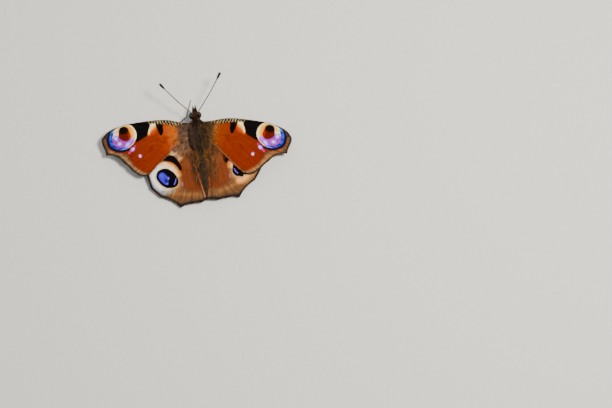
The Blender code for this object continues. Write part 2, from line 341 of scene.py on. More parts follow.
def ball(bm: BMesh, centre: Point3 | Vector, half: Point3, around: int = 32,
         along: int = 24) -> None:
    """Add a ball stretched to three half sizes.

    Args:
        bm: The mesh that the ball is added to.
        centre: Its centre.
        half: Half its size along X, Y and Z.
        around: Sides of its cross section.
        along: Rings along its length, which is its Y.
    """
    verts = bmesh.ops.create_uvsphere(bm, u_segments=around, v_segments=along, radius=1.0)["verts"]
    bmesh.ops.rotate(bm, cent=(0, 0, 0), matrix=Matrix.Rotation(pi / 2, 3, "X"), verts=verts)
    bmesh.ops.scale(bm, vec=half, verts=verts)
    bmesh.ops.translate(bm, vec=centre, verts=verts)


# ---- finishes


class Board:
    """A material's node board, with short calls for the nodes that the finishes share."""

    def __init__(self, name: str) -> None:
        """Start a material whose shader is the only thing on its board.

        Args:
            name: The material's name.
        """
        self.material = bpy.data.materials.new(name)
        self.material.use_nodes = True
        self.tree = self.material.node_tree
        self.shader = self.tree.nodes["Principled BSDF"]

    def node(self, kind: str, inputs: dict | None = None, **settings: str) -> Node:
        """Add a node, set its fields, and set or link its inputs.

        Args:
            kind: The node's type.
            inputs: A number, colour or output socket for each input.
            **settings: The node's own fields.

        Returns:
            The new node.
        """
        made = self.tree.nodes.new(kind)
        for field, value in settings.items():
            setattr(made, field, value)
        for key, value in (inputs or {}).items():
            if isinstance(value, NodeSocket):
                self.tree.links.new(value, made.inputs[key])
            else:
                made.inputs[key].default_value = value
        return made

    def number(self, name: str) -> NodeSocket:
        """A number stored on the piece."""
        return self.node("ShaderNodeAttribute", attribute_name=name).outputs["Fac"]

    def vector(self, name: str) -> NodeSocket:
        """A vector or colour stored on the piece."""
        return self.node("ShaderNodeAttribute", attribute_name=name).outputs["Vector"]

    def here(self) -> NodeSocket:
        """The piece's own coordinates, in metres."""
        return self.node("ShaderNodeTexCoord").outputs["Object"]

    def math(self, operation: str, first: Value, second: Value = 0.0, third: Value = 0.0) -> NodeSocket:
        """One arithmetic step."""
        return self.node("ShaderNodeMath", {0: first, 1: second, 2: third}, operation=operation).outputs[0]

    def step(self, value: NodeSocket, low: float, high: float, to_low: float = 0.0,
             to_high: float = 1.0) -> NodeSocket:
        """A smooth step of a value from low to high."""
        inputs = {"Value": value, "From Min": low, "From Max": high, "To Min": to_low, "To Max": to_high}
        return self.node("ShaderNodeMapRange", inputs, interpolation_type="SMOOTHSTEP").outputs["Result"]

    def mix(self, share: Value, under: Tint, over: Tint, blend: str = "MIX") -> NodeSocket:
        """Lay one colour over another by a share.

        Args:
            share: How much of the upper colour shows, a number or a socket.
            under: The lower colour, or its socket.
            over: The upper colour, or its socket.
            blend: How the two are mixed.

        Returns:
            The mixed colour.
        """
        made = self.node("ShaderNodeMix", data_type="RGBA", blend_type=blend)
        for socket, value in ((made.inputs[0], share), (made.inputs[6], under), (made.inputs[7], over)):
            if isinstance(value, NodeSocket):
                self.tree.links.new(value, socket)
            elif isinstance(value, tuple):
                socket.default_value = (*value, 1.0)
            else:
                socket.default_value = value
        return made.outputs[2]

    def ramp(self, value: NodeSocket, stops: Sequence[tuple[float, Colour]]) -> NodeSocket:
        """A colour that changes from stop to stop.

        Args:
            value: The value that it follows, from 0 to 1.
            stops: The value and the colour of each stop.

        Returns:
            The colour.
        """
        made = self.node("ShaderNodeValToRGB", {0: value})
        elements = made.color_ramp.elements
        while len(elements) < len(stops):
            elements.new(1.0)
        for element, (place, colour) in zip(elements, stops):
            element.position = place
            element.color = (*colour, 1.0)
        return made.outputs["Color"]

    def shaded(self, colour: NodeSocket, value: NodeSocket) -> NodeSocket:
        """A colour made darker or lighter by a value around 1."""
        grey = self.node("ShaderNodeCombineColor", {0: value, 1: value, 2: value}).outputs[0]
        return self.mix(1.0, colour, grey, "MULTIPLY")

    def clouded(self, where: NodeSocket, scale: float, dark: Colour, pale: Colour, low: float = 0.3,
                high: float = 0.7, detail: float = 3.0) -> NodeSocket:
        """Two colours in soft clouds."""
        return self.mix(self.step(self.noise(where, scale, detail), low, high), dark, pale)

    def waves(self, run: NodeSocket, period: float) -> NodeSocket:
        """Even waves of a period, from -1 to 1, along a run in millimetres."""
        return self.math("SINE", self.math("MULTIPLY", run, 2 * pi / period))

    def noise(self, where: NodeSocket, scale: float, detail: float = 3.0, rough: float = 0.55) -> NodeSocket:
        """Cloudy noise around one half."""
        inputs = {"Vector": where, "Scale": scale, "Detail": detail, "Roughness": rough}
        return self.node("ShaderNodeTexNoise", inputs).outputs["Fac"]

    def stretched(self, where: NodeSocket, scale: Point3, turn: float = 0.0) -> NodeSocket:
        """Coordinates stretched along their axes, and turned in their plane."""
        inputs = {"Vector": where, "Scale": scale, "Rotation": (0.0, 0.0, turn)}
        return self.node("ShaderNodeMapping", inputs).outputs["Vector"]

    def bump(self, height: NodeSocket, strength: float, distance: float) -> None:
        """Give the shader relief from a height."""
        inputs = {"Height": height, "Strength": strength, "Distance": distance}
        self.to_shader("Normal", self.node("ShaderNodeBump", inputs).outputs["Normal"])

    def to_shader(self, key: str, value: Value | Colour) -> None:
        """Set or link one of the shader's inputs.

        Args:
            key: The input's name.
            value: A number, colour or output socket.
        """
        if isinstance(value, NodeSocket):
            self.tree.links.new(value, self.shader.inputs[key])
        else:
            self.shader.inputs[key].default_value = (*value, 1.0) if isinstance(value, tuple) else value


@dataclass(frozen=True)
class Gloss:
    """The shader's even values: how rough, how shiny and how velvety a finish is."""

    roughness: float
    specular: float = 0.5
    coat: float = 0.0
    sheen: float = 0.0

    def set_on(self, board: Board) -> None:
        """Set the values on the shader's own sockets.

        Args:
            board: The board whose shader gets them.
        """
        board.to_shader("Roughness", self.roughness)
        board.to_shader("Specular IOR Level", self.specular)
        board.to_shader("Coat Weight", self.coat)
        board.to_shader("Sheen Weight", self.sheen)


# ---- marks on the wings


def to_segment(x: Array, y: Array, start: Point2, end: Point2) -> Array:
    """The distance from each place to a straight segment.

    Args:
        x: The first number of each place.
        y: The second number of each place.
        start: One end of the segment.
        end: Its other end.

    Returns:
        The distances.
    """
    (ax, ay), (bx, by) = start, end
    length = max((bx - ax) ** 2 + (by - ay) ** 2, 1e-12)
    share = np.clip(((x - ax) * (bx - ax) + (y - ay) * (by - ay)) / length, 0.0, 1.0)
    return np.hypot(x - ax - share * (bx - ax), y - ay - share * (by - ay))


@dataclass(frozen=True)
class Oval:
    """An oval mark, tilted by an angle in degrees."""

    centre: Point2
    half: Point2
    tilt: float = 0.0

    def depth(self, x: Array, y: Array) -> Array:
        """How deep inside the mark each place is.

        Args:
            x: How far outwards each place is from the hinge.
            y: How far rearwards it is.

        Returns:
            The depths in millimetres, below zero outside.
        """
        c, s = cos(radians(self.tilt)), sin(radians(self.tilt))
        dx, dy = x - self.centre[0], y - self.centre[1]
        u, v = (dx * c + dy * s), (dy * c - dx * s)
        reach = np.hypot(u / self.half[0], v / self.half[1])
        slope = np.hypot(u / self.half[0] ** 2, v / self.half[1] ** 2)
        return np.where(reach < 1e-6, min(self.half), reach * (1.0 - reach) / np.maximum(slope, 1e-9))


@dataclass(frozen=True)
class Patch:
    """A mark inside a smooth closed line through a few points."""

    outline: tuple[Point2, ...]
    steps: int = 6

    def line(self) -> Array:
        """The closed line as short straight steps, by the rule of Catmull and Rom.

        Returns:
            One row of x and y for each step.
        """
        knots = np.array(self.outline, float)
        before, after, beyond = np.roll(knots, 1, 0), np.roll(knots, -1, 0), np.roll(knots, -2, 0)
        rows = []
        for t in np.arange(self.steps) / self.steps:
            bend = (2 * before - 5 * knots + 4 * after - beyond) * t ** 2
            twist = (3 * knots - before - 3 * after + beyond) * t ** 3
            rows.append(0.5 * (2 * knots + (after - before) * t + bend + twist))
        return np.stack(rows, 1).reshape(-1, 2)

    def depth(self, x: Array, y: Array) -> Array:
        """How deep inside the mark each place is.

        Args:
            x: How far outwards each place is from the hinge.
            y: How far rearwards it is.

        Returns:
            The depths in millimetres, below zero outside.
        """
        line = self.line()
        nearest = np.full(x.shape, np.inf)
        inside = np.zeros(x.shape, bool)
        for (ax, ay), (bx, by) in zip(line, np.roll(line, -1, 0)):
            nearest = np.minimum(nearest, to_segment(x, y, (ax, ay), (bx, by)))
            if by != ay:
                inside ^= ((ay > y) != (by > y)) & (x < ax + (y - ay) * (bx - ax) / (by - ay))
        return np.where(inside, nearest, -nearest)


@dataclass(frozen=True)
class Stroke:
    """A mark drawn with a round brush of one half width through a few points."""

    path: tuple[Point2, ...]
    half_width: float

    def depth(self, x: Array, y: Array) -> Array:
        """How deep inside the mark each place is.

        Args:
            x: How far outwards each place is from the hinge.
            y: How far rearwards it is.

        Returns:
            The depths in millimetres, below zero outside.
        """
        nearest = np.full(x.shape, np.inf)
        for start, end in zip(self.path, self.path[1:]):
            nearest = np.minimum(nearest, to_segment(x, y, start, end))
        return self.half_width - nearest


@dataclass(frozen=True)
class Mark:
    """One coloured mark of a wing: its shape, its colour, how soft its edge is and how strong it is.

    A mark with a side is on that side's wing only. Streaks run through a mark that is streaked.
    """

    name: str
    colour: Colour
    shape: Oval | Patch | Stroke
    soft: float = 0.12
    strength: float = 1.0
    streaked: bool = False
    side: Side | None = None

    @property
    def field(self) -> str:
        """The name that the mark's depth is stored under."""
        return "mark_" + self.name

    def on(self, side: Side) -> bool:
        """Whether the mark is on this side's wing."""
        return self.side in (None, side)


CREAM = tone(254, 238, 178)
GOLD_YELLOW = tone(255, 168, 0)
NIGHT = tone(4, 3, 4)
DEEP_BLUE = tone(56, 36, 182)
PEARL = tone(216, 202, 255)

FOREWING_MARKS = (
    Mark("band", tone(98, 74, 48), Patch(((20.0, -4.6), (22.8, -3.0), (24.5, -1.9), (25.6, -0.4),
        (25.7, 1.4), (25.0, 3.0), (23.7, 4.1), (21.9, 4.7), (20.1, 5.5), (19.4, 7.2), (18.2, 9.4),
        (16.8, 11.1), (15.4, 11.9), (13.2, 12.2), (14.5, 15.0), (24.0, 14.0), (31.0, 6.0), (31.0, -4.0),
        (26.0, -7.0))), 0.5, streaked=True),
    Mark("band_light", tone(172, 126, 80), Stroke(((22.3, 5.3), (20.9, 6.2), (20.0, 8.0), (18.5, 10.0),
        (16.8, 11.5)), 0.34), 0.9, 0.8, streaked=True),
    Mark("band_bright", tone(196, 142, 88), Stroke(((25.3, 3.6), (24.3, 4.3), (22.0, 5.5)), 0.36), 0.7,
        0.6, streaked=True, side=Side.LEFT),
    Mark("band_dusk", tone(58, 40, 28), Stroke(((26.9, -0.8), (26.9, 1.4), (26.5, 3.3), (25.0, 4.8),
        (22.6, 5.5)), 0.6), 0.9, 0.8, streaked=True),
    Mark("band_foot", tone(150, 108, 76), Stroke(((18.6, 9.9), (17.4, 11.4), (15.6, 12.2)), 0.36), 0.8,
        0.7, streaked=True),
    Mark("band_warm", tone(170, 94, 34), Stroke(((24.2, 4.4), (21.4, 6.4), (20.0, 8.4), (18.3, 10.6),
        (16.4, 11.9)), 0.7), 1.2, 0.45, streaked=True, side=Side.RIGHT),
    Mark("base_haze", tone(124, 82, 58), Patch(((-0.5, 1.8), (2.2, 1.9), (4.0, 3.0), (5.4, 4.4),
        (6.8, 6.2), (5.4, 6.4), (1.0, 4.0))), 1.6, 0.9, side=Side.LEFT),
    Mark("apex", tone(40, 27, 38), Patch(((20.4, -3.6), (22.4, -3.3), (24.0, -2.4), (25.2, -1.3),
        (25.6, -0.2), (26.3, -0.6), (27.8, -0.6), (27.0, -3.0), (23.0, -4.6))), 0.6),
    Mark("outer_shade", tone(62, 46, 44), Stroke(((27.3, -0.5), (27.2, 1.6), (26.6, 4.8), (23.5, 5.8),
        (21.5, 8.0), (19.6, 10.5), (17.7, 12.5), (15.4, 13.1)), 0.5), 0.6, 0.85),
    Mark("patch_glow", tone(168, 54, 2), Patch(((10.3, -2.6), (10.0, -1.0), (10.1, 0.0), (10.8, 0.6),
        (11.9, 1.0), (12.9, 1.1), (12.6, -0.2), (11.8, -1.6), (11.2, -2.8))), 0.8, 0.9),
    Mark("patch_orange", tone(204, 82, 2), Patch(((10.2, -2.9), (10.0, -1.5), (10.4, -0.7), (11.2, -0.2),
        (12.0, 0.4), (12.8, 0.9), (12.6, -0.4), (11.8, -2.0), (11.3, -2.9))), 0.6, 0.9),
    Mark("patch_gold", tone(238, 158, 2), Patch(((10.2, -2.9), (10.0, -1.7), (10.5, -1.0), (11.3, -0.6),
        (12.0, 0.1), (12.7, 0.7), (12.6, -0.4), (11.8, -2.0), (11.3, -2.9))), 0.5, 0.9),
    Mark("cream_patch", CREAM, Patch(((11.55, -3.2), (10.2, -3.1), (10.15, -2.2), (10.6, -1.6),
        (11.4, -1.15), (12.1, -0.4), (12.6, 0.5), (12.75, 0.2), (12.35, -0.9), (11.8, -2.0))), 0.5),
    Mark("short_bar", NIGHT, Patch(((10.2, -3.2), (8.05, -2.9), (8.1, -0.8), (8.2, 0.5), (8.55, 1.3),
        (9.05, 1.6), (9.45, 1.0), (9.7, 0.0), (10.0, -1.3)))),
    Mark("black_patch", NIGHT, Patch(((11.7, -4.2), (12.0, -1.9), (12.6, -0.6), (13.2, 0.8), (14.6, 1.5),
        (15.7, 1.95), (16.8, 2.3), (17.2, 1.0), (16.8, -0.4), (17.2, -2.0), (18.8, -3.3), (20.0, -4.4),
        (16.0, -5.0)))),
    Mark("front_edge", tone(70, 60, 50), Stroke(((12.0, -3.55), (14.0, -3.85), (16.5, -4.05),
        (19.0, -4.1), (21.0, -3.9)), 0.34), 0.3, 0.8),
    Mark("spot_outline", tone(6, 6, 20), Patch(((21.4, -3.6), (23.2, -3.05), (24.6, -1.9), (25.4, -0.4),
        (25.5, 1.3), (24.9, 2.75), (23.4, 3.9), (21.7, 4.45), (20.2, 4.45), (19.0, 3.7), (21.0, 0.0))),
        0.2),
    Mark("spot_ring", CREAM, Patch(((18.9, -3.6), (17.5, -3.0), (16.65, -1.8), (16.3, -0.2), (16.7, 1.3),
        (17.6, 2.4), (18.7, 3.2), (20.1, 3.75), (21.7, 3.7), (23.2, 3.1), (24.2, 2.2), (24.7, 1.1),
        (24.7, -0.2), (24.1, -1.4), (23.1, -2.4), (21.5, -3.25), (20.2, -3.5))), 0.16),
    Mark("ring_gold", GOLD_YELLOW, Stroke(((19.0, -2.75), (18.1, -2.0), (17.75, -0.7), (17.9, 0.5)),
        0.85), 0.6),
    Mark("ring_orange", tone(236, 112, 4), Stroke(((18.6, -1.9), (18.1, -0.7), (18.1, 0.5)), 0.3), 0.5),
    Mark("ring_gold_outer", tone(244, 176, 110), Stroke(((21.6, -2.8), (22.3, -1.7)), 0.5), 0.6, 0.9),
    Mark("ring_crown", tone(190, 182, 140), Oval((20.0, -3.4), (1.3, 0.3), -5), 0.4, 0.7),
    Mark("ring_foot", tone(244, 178, 206), Oval((17.5, 1.45), (0.7, 0.4), 50), 0.6, 0.8),
    Mark("violet_field", tone(146, 54, 176), Patch(((22.8, -0.9), (24.0, 0.2), (24.1, 1.7), (23.2, 3.0),
        (21.0, 3.6), (19.2, 3.3), (17.9, 2.5), (17.3, 1.7), (17.7, 0.9), (18.8, 1.0), (20.0, 1.0),
        (21.2, 0.4), (21.8, -0.4))), 0.4),
    Mark("grey_veil", tone(70, 116, 150), Oval((23.5, -1.9), (0.9, 0.42), 45), 0.6, 0.9),
    Mark("blue_rim", tone(26, 40, 150), Patch(((23.7, -1.9), (24.4, -1.2), (24.8, -0.3), (24.85, 1.2),
        (24.3, 2.4), (23.2, 3.2), (21.7, 3.7), (20.1, 3.75), (19.3, 3.3), (20.8, 3.1), (22.3, 2.95),
        (23.3, 2.2), (23.8, 1.0), (23.7, -0.2), (23.2, -1.4))), 0.26),
    Mark("rim_light_front", tone(48, 92, 216), Stroke(((24.2, -1.0), (24.4, 0.2)), 0.2), 0.5, 0.75),
    Mark("rim_light_side", tone(48, 78, 222), Stroke(((24.3, 1.0), (23.9, 2.0)), 0.2), 0.4, 0.7),
    Mark("rim_light_foot", tone(64, 66, 220), Stroke(((22.9, 3.05), (21.9, 3.4)), 0.14), 0.4, 0.7),
    Mark("rim_light_inner", tone(60, 92, 236), Stroke(((20.9, 3.55), (20.0, 3.6)), 0.24), 0.4, 0.9),
    Mark("rim_break_front", tone(14, 8, 54), Stroke(((24.9, 0.6), (23.9, 0.7)), 0.1), 0.26, 0.9),
    Mark("rim_break_side", tone(14, 8, 54), Stroke(((24.6, 2.5), (23.5, 2.2), (22.6, 2.9)), 0.13), 0.26,
        0.9),
    Mark("rim_break_foot", tone(20, 14, 62), Stroke(((22.3, 4.3), (22.0, 3.4)), 0.24), 0.3, 0.9),
    Mark("magenta_web", tone(150, 16, 92), Stroke(((22.0, -0.4), (23.2, 0.5), (22.9, 1.6), (22.0, 0.9),
        (20.9, 1.4), (21.2, 2.4), (22.4, 2.6)), 0.2), 0.4, 0.85),
    Mark("magenta_foot", tone(164, 40, 120), Stroke(((19.2, 1.4), (20.6, 2.0), (20.4, 3.1)), 0.16), 0.4,
        0.7),
    Mark("violet_stroke", tone(178, 88, 250), Stroke(((17.6, 1.0), (18.3, 1.8), (19.9, 3.1)), 0.3), 0.36),
    Mark("halo_outer", tone(96, 96, 240), Oval((22.75, 0.05), (0.7, 0.85)), 0.6, 0.85),
    Mark("halo_middle", tone(138, 104, 240), Oval((21.7, 1.85), (0.8, 0.6)), 0.5, 0.8),
    Mark("halo_inner", tone(120, 110, 250), Oval((19.5, 2.55), (0.95, 0.5), 35), 0.5, 0.85),
    Mark("lilac_outer", PEARL, Oval((22.7, -0.05), (0.4, 0.46), 20), 0.5, 0.95),
    Mark("lilac_middle", PEARL, Oval((21.8, 1.85), (0.42, 0.34)), 0.5, 0.95),
    Mark("lilac_inner", PEARL, Oval((19.4, 2.45), (0.6, 0.3), 35), 0.5, 0.95),
    Mark("lilac_fleck", tone(200, 180, 255), Oval((22.3, 0.85), (0.16, 0.2)), 0.3, 0.8),
    Mark("web_fleck", tone(150, 16, 92), Stroke(((23.75, -0.2), (23.4, 0.6), (23.9, 1.7)), 0.1), 0.3,
        0.8),
    Mark("spot_heart", tone(86, 15, 2), Patch(((21.1, -2.9), (20.2, -3.25), (19.3, -3.0), (18.7, -2.3),
        (18.4, -1.4), (18.15, -0.4), (18.15, 0.5), (18.6, 1.1), (19.6, 1.45), (20.6, 1.15), (21.4, 0.5),
        (21.8, -0.2), (21.75, -1.1), (21.5, -2.0))), 0.35),
    Mark("heart_glow", tone(150, 44, 4), Stroke(((18.6, -0.8), (18.6, 0.6)), 0.2), 0.5, 0.8),
    Mark("spot_pupil", NIGHT, Oval((20.05, -2.0), (1.5, 1.2), 8), 0.9),
    Mark("spot_smile", tone(90, 10, 10), Stroke(((16.6, 2.2), (18.0, 3.3), (19.2, 4.2)), 0.15), 0.2, 0.8),
    Mark("pearl_tail", tone(186, 44, 104), Stroke(((17.2, 3.3), (18.1, 4.2), (19.4, 5.15)), 0.26), 0.36,
        0.9),
    Mark("pearl_rim", tone(160, 84, 226), Oval((18.15, 4.2), (0.7, 0.52), 35), 0.36),
    Mark("pearl_large", PEARL, Oval((18.0, 4.15), (0.4, 0.34), 30), 0.4),
    Mark("pearl_halo", tone(190, 80, 150), Oval((16.2, 6.6), (0.5, 0.55)), 0.35, 0.75),
    Mark("pearl_small", tone(234, 200, 255), Oval((16.2, 6.6), (0.32, 0.36)), 0.26),
)

HINDWING_MARKS = (
    Mark("band", tone(108, 72, 42), Patch(((5.3, 12.8), (4.6, 14.2), (2.9, 15.1), (0.5, 15.5),
        (-3.0, 15.5), (-4.0, 22.0), (9.0, 23.0), (17.0, 18.0), (19.0, 9.0), (17.0, 3.0), (12.0, 4.4),
        (9.0, 5.6), (7.3, 6.6), (6.0, 8.0), (5.4, 10.0))), 0.9, streaked=True),
    Mark("band_light", tone(178, 112, 50), Stroke(((8.8, 15.0), (6.6, 15.2), (4.8, 15.8), (1.4, 16.4)),
        0.4), 1.4, 0.7, streaked=True),
    Mark("cream_shoulder", tone(212, 166, 122), Patch(((8.5, 1.6), (9.4, 3.4), (7.9, 3.3), (6.4, 3.7),
        (5.2, 5.3), (4.2, 4.8), (4.9, 3.2), (6.4, 2.2))), 1.1, 0.8, streaked=True),
    Mark("base_haze", tone(140, 98, 68), Patch(((1.0, -1.0), (6.0, -1.0), (8.0, 0.6), (6.6, 2.0),
        (4.8, 2.9), (1.5, 3.2))), 1.4, 0.85),
    Mark("haze_light", tone(200, 150, 102), Stroke(((3.9, 3.4), (4.6, 2.8), (5.6, 2.1)), 0.5), 0.9, 0.9,
        streaked=True),
    Mark("shoulder_light", tone(226, 184, 126), Stroke(((7.4, 3.3), (6.3, 3.2), (5.5, 2.9)), 0.24), 0.6,
        0.85, streaked=True),
    Mark("shoulder_streak", tone(226, 150, 76), Stroke(((4.9, 4.0), (5.25, 5.0), (5.2, 5.9)), 0.1), 0.36,
        0.85),
    Mark("shoulder_dark", tone(104, 66, 38), Stroke(((5.9, 3.9), (5.6, 4.5), (4.3, 4.0)), 0.2), 0.7, 0.6),
    Mark("ring_pale", tone(236, 232, 218), Patch(((14.9, 8.4), (14.1, 6.8), (12.4, 5.6), (10.3, 5.1),
        (8.6, 5.5), (7.2, 6.7), (6.4, 8.1), (7.2, 10.0), (8.6, 12.0), (8.9, 13.6), (9.6, 14.4),
        (11.4, 14.2), (13.1, 12.9), (14.4, 11.1), (14.95, 9.7))), 0.45),
    Mark("ring_cream", tone(250, 196, 110), Stroke(((10.8, 5.6), (9.2, 5.9), (7.6, 6.9), (6.7, 8.3),
        (6.2, 9.9)), 0.6), 0.9, 0.9),
    Mark("ring_glow", tone(214, 128, 52), Stroke(((8.6, 5.4), (7.1, 6.4), (6.1, 8.0), (5.7, 9.9)), 0.34),
        0.7, 0.85),
    Mark("ring_orange", tone(176, 94, 34), Stroke(((8.9, 5.0), (6.9, 6.1), (5.7, 8.1), (5.3, 9.8)), 0.26),
        0.5),
    # Painted sunlight: on the right hindwing the outer side of the ring is painted warm peach, as lit by the
    # sun.
    Mark("ring_sunlit_outer", tone(226, 146, 82), Stroke(((9.6, 5.6), (11.8, 6.2), (13.6, 8.0), (14.0, 10.0),
        (13.0, 12.2), (11.4, 13.4)), 1.0), 0.8, 0.9, side=Side.RIGHT),
    Mark("ring_foot", tone(150, 92, 48), Stroke(((5.9, 10.6), (5.8, 12.2), (6.6, 13.8), (7.9, 14.6)),
        0.5), 0.8, 0.9, streaked=True),
    Mark("ring_olive", tone(146, 130, 96), Stroke(((8.4, 14.1), (10.0, 14.3), (11.6, 13.9)), 0.65), 1.0,
        0.9, streaked=True),
    Mark("ring_sunlit", tone(244, 160, 76), Stroke(((7.8, 14.4), (9.4, 14.2), (10.8, 13.4)), 0.8), 1.5,
        0.95, side=Side.RIGHT),
    Mark("ring_tan", tone(150, 100, 52), Stroke(((10.2, 15.4), (12.2, 14.0), (13.9, 12.0)), 0.7), 1.3,
        0.9, side=Side.RIGHT),
    Mark("ring_mauve", tone(150, 104, 128), Stroke(((5.3, 12.1), (5.4, 12.9)), 0.16), 0.4, 0.8),
    Mark("ring_grey", tone(130, 142, 150), Stroke(((14.7, 7.6), (14.8, 9.4), (14.2, 11.4), (12.8, 13.2),
        (11.2, 14.4)), 0.5), 0.9, 0.8, side=Side.LEFT),
    Mark("pupil_halo", tone(196, 152, 96), Patch(((12.95, 8.5), (12.1, 7.3), (10.6, 6.75), (9.1, 6.95),
        (7.8, 7.8), (6.75, 9.3), (6.1, 11.0), (6.2, 12.4), (7.1, 13.4), (8.6, 13.8), (10.2, 13.5),
        (11.6, 12.4), (12.7, 10.7), (13.15, 9.4))), 0.5, 0.7),
    Mark("side_shade", tone(38, 35, 38), Stroke(((14.9, 3.4), (15.7, 5.6), (15.75, 8.2), (15.1, 12.4),
        (13.6, 14.4)), 0.95), 0.4),
    Mark("foot_glow", tone(62, 44, 30), Stroke(((13.4, 14.2), (12.4, 15.2), (9.6, 17.1), (7.0, 18.8),
        (3.4, 18.4), (0.6, 18.6), (-1.4, 18.0)), 0.8), 1.0, 0.8, streaked=True),
    Mark("foot_shade", tone(36, 27, 23), Stroke(((13.6, 14.4), (12.6, 15.4), (9.6, 17.2), (7.0, 19.0),
        (3.4, 19.0), (0.6, 18.9), (-1.4, 18.3)), 0.66), 0.5),
    Mark("crescent", NIGHT, Patch(((9.7, 4.4), (8.4, 3.4), (7.1, 3.45), (6.0, 4.4), (5.2, 6.0),
        (4.75, 7.5), (4.9, 8.4), (5.5, 8.3), (5.95, 7.3), (6.6, 6.35), (7.5, 5.5), (8.8, 5.0)))),
    Mark("pupil", NIGHT, Patch(((12.7, 8.6), (12.0, 7.5), (10.6, 7.0), (9.2, 7.2), (7.9, 8.1), (6.9, 9.4),
        (6.35, 10.9), (6.45, 12.0), (7.2, 12.85), (8.6, 13.15), (10.1, 12.9), (11.4, 12.0), (12.4, 10.5),
        (12.8, 9.4)))),
    Mark("blue_pool", DEEP_BLUE, Patch(((12.0, 8.8), (11.3, 8.1), (10.4, 8.2), (9.8, 8.9), (9.3, 9.8),
        (9.3, 10.7), (9.5, 11.6), (10.2, 11.8), (11.0, 11.2), (11.6, 10.3), (12.0, 9.5))), 0.35),
    Mark("pool_light", tone(66, 68, 212), Oval((11.1, 9.0), (0.6, 0.45), 45), 0.7, 0.85),
    Mark("pool_dark", tone(12, 20, 66), Oval((10.0, 10.7), (0.46, 0.6)), 0.5, 0.95),
    Mark("pool_violet", tone(110, 70, 240), Oval((9.2, 10.1), (0.24, 0.4), -15), 0.3),
    Mark("pool_foot", tone(100, 70, 236), Oval((9.9, 11.7), (0.34, 0.22)), 0.3),
    Mark("pupil_reach", NIGHT, Stroke(((6.75, 11.4), (7.3, 12.5), (9.0, 13.1)), 0.42), 0.3,
        side=Side.RIGHT),
    Mark("crescent_reach", NIGHT, Stroke(((5.0, 5.6), (4.55, 7.0), (4.8, 8.0)), 0.3), 0.6, 0.85,
        side=Side.RIGHT),
    Mark("blue_comma", tone(112, 84, 240), Stroke(((7.0, 10.7), (7.3, 11.6), (7.8, 12.2)), 0.13), 0.2),
    # Painted shade on both sides of the fold's ridge and a painted highlight on its lit crest, on the left
    # hindwing only.
    Mark("fold_shade", tone(50, 30, 20), Stroke(((0.2, 5.0), (-0.1, 9.8), (-0.8, 13.8), (-1.25, 17.4)),
        0.26), 0.4, 0.85, side=Side.LEFT),
    Mark("fold_side_shade", tone(74, 38, 20), Stroke(((1.15, 5.0), (0.9, 9.8), (0.25, 13.8), (-0.2, 16.4)),
        0.14), 0.5, 0.7, side=Side.LEFT),
    Mark("fold_highlight", tone(196, 116, 70), Stroke(((1.0, 4.6), (0.6, 7.2), (0.38, 9.8), (-0.3, 13.8),
        (-0.8, 17.5)), 0.1), 0.26, 0.9, side=Side.LEFT),
)

# Veins of each wing, from where they leave the body or another vein to the edge.
FOREWING_VEINS = (
    ((0.9, -0.4), (7.0, -2.0), (14.7, -3.6)),
    ((0.9, 0.0), (6.0, -1.2), (11.6, -1.6), (16.0, -2.6), (18.6, -3.65)),
    ((11.6, -1.6), (17.0, -2.2), (22.3, -3.25)),
    ((14.6, -1.9), (20.0, -1.9), (25.2, -2.2)),
    ((16.8, -1.8), (22.0, -0.9), (27.1, -0.3)),
    ((11.6, -1.2), (19.0, 0.0), (26.95, 1.6)),
    ((11.9, 0.0), (19.0, 2.2), (26.4, 4.6)),
    ((11.6, 1.2), (17.5, 3.4), (23.5, 5.45)),
    ((11.0, 2.3), (16.0, 5.0), (21.4, 7.75)),
    ((9.6, 2.4), (14.5, 6.4), (19.55, 10.2)),
    ((6.8, 2.3), (12.0, 7.4), (17.6, 12.15)),
    ((0.9, 1.4), (6.8, 2.3), (11.0, 2.3), (11.6, 1.2), (11.9, 0.0), (11.6, -1.4)),
    ((0.9, 2.6), (8.0, 7.2), (15.4, 12.8)),
)
HINDWING_VEINS = (
    ((1.5, 1.0), (5.0, -0.1), (10.5, -0.2)),
    ((1.6, 1.5), (7.0, 1.6), (14.3, 3.2)),
    ((5.2, 3.4), (10.0, 5.2), (15.5, 8.2)),
    ((5.6, 4.6), (10.0, 8.2), (14.9, 12.3)),
    ((5.2, 5.6), (8.8, 10.2), (12.4, 15.25)),
    ((4.2, 6.3), (5.6, 12.8), (6.9, 19.45)),
    ((3.4, 6.3), (3.4, 12.5), (3.3, 18.75)),
    ((2.0, 4.6), (1.9, 12.0), (0.65, 18.85)),
    ((1.6, 1.8), (5.2, 3.4), (5.6, 4.6), (5.2, 5.6), (4.2, 6.3), (2.0, 4.6)),
)


# ---- wings


@dataclass(frozen=True)
class WingPlan:
    """The shape of a pair of wings, as in the frame, and what is drawn on them.

    The edge holds where each vein reaches it, outwards and rearwards from the hinge, and how far
    the edge before that point bows out.
    """

    slot: Slot
    hinge: Point3
    droop: float
    pitch: float
    arch: float
    sweep: dict[Side, float]
    root: tuple[Point2, Point2]
    edge: tuple[tuple[Point2, float], ...]
    inner_bow: dict[Side, float]
    tip_held_by_body: bool
    marks: tuple[Mark, ...]
    veins: tuple[tuple[Point2, ...], ...]
    lower_dot: Oval
    front_strip: Patch | None = None
    flute: float = 0.16
    sheet: float = 0.12
    columns: int = 240
    rows: int = 100


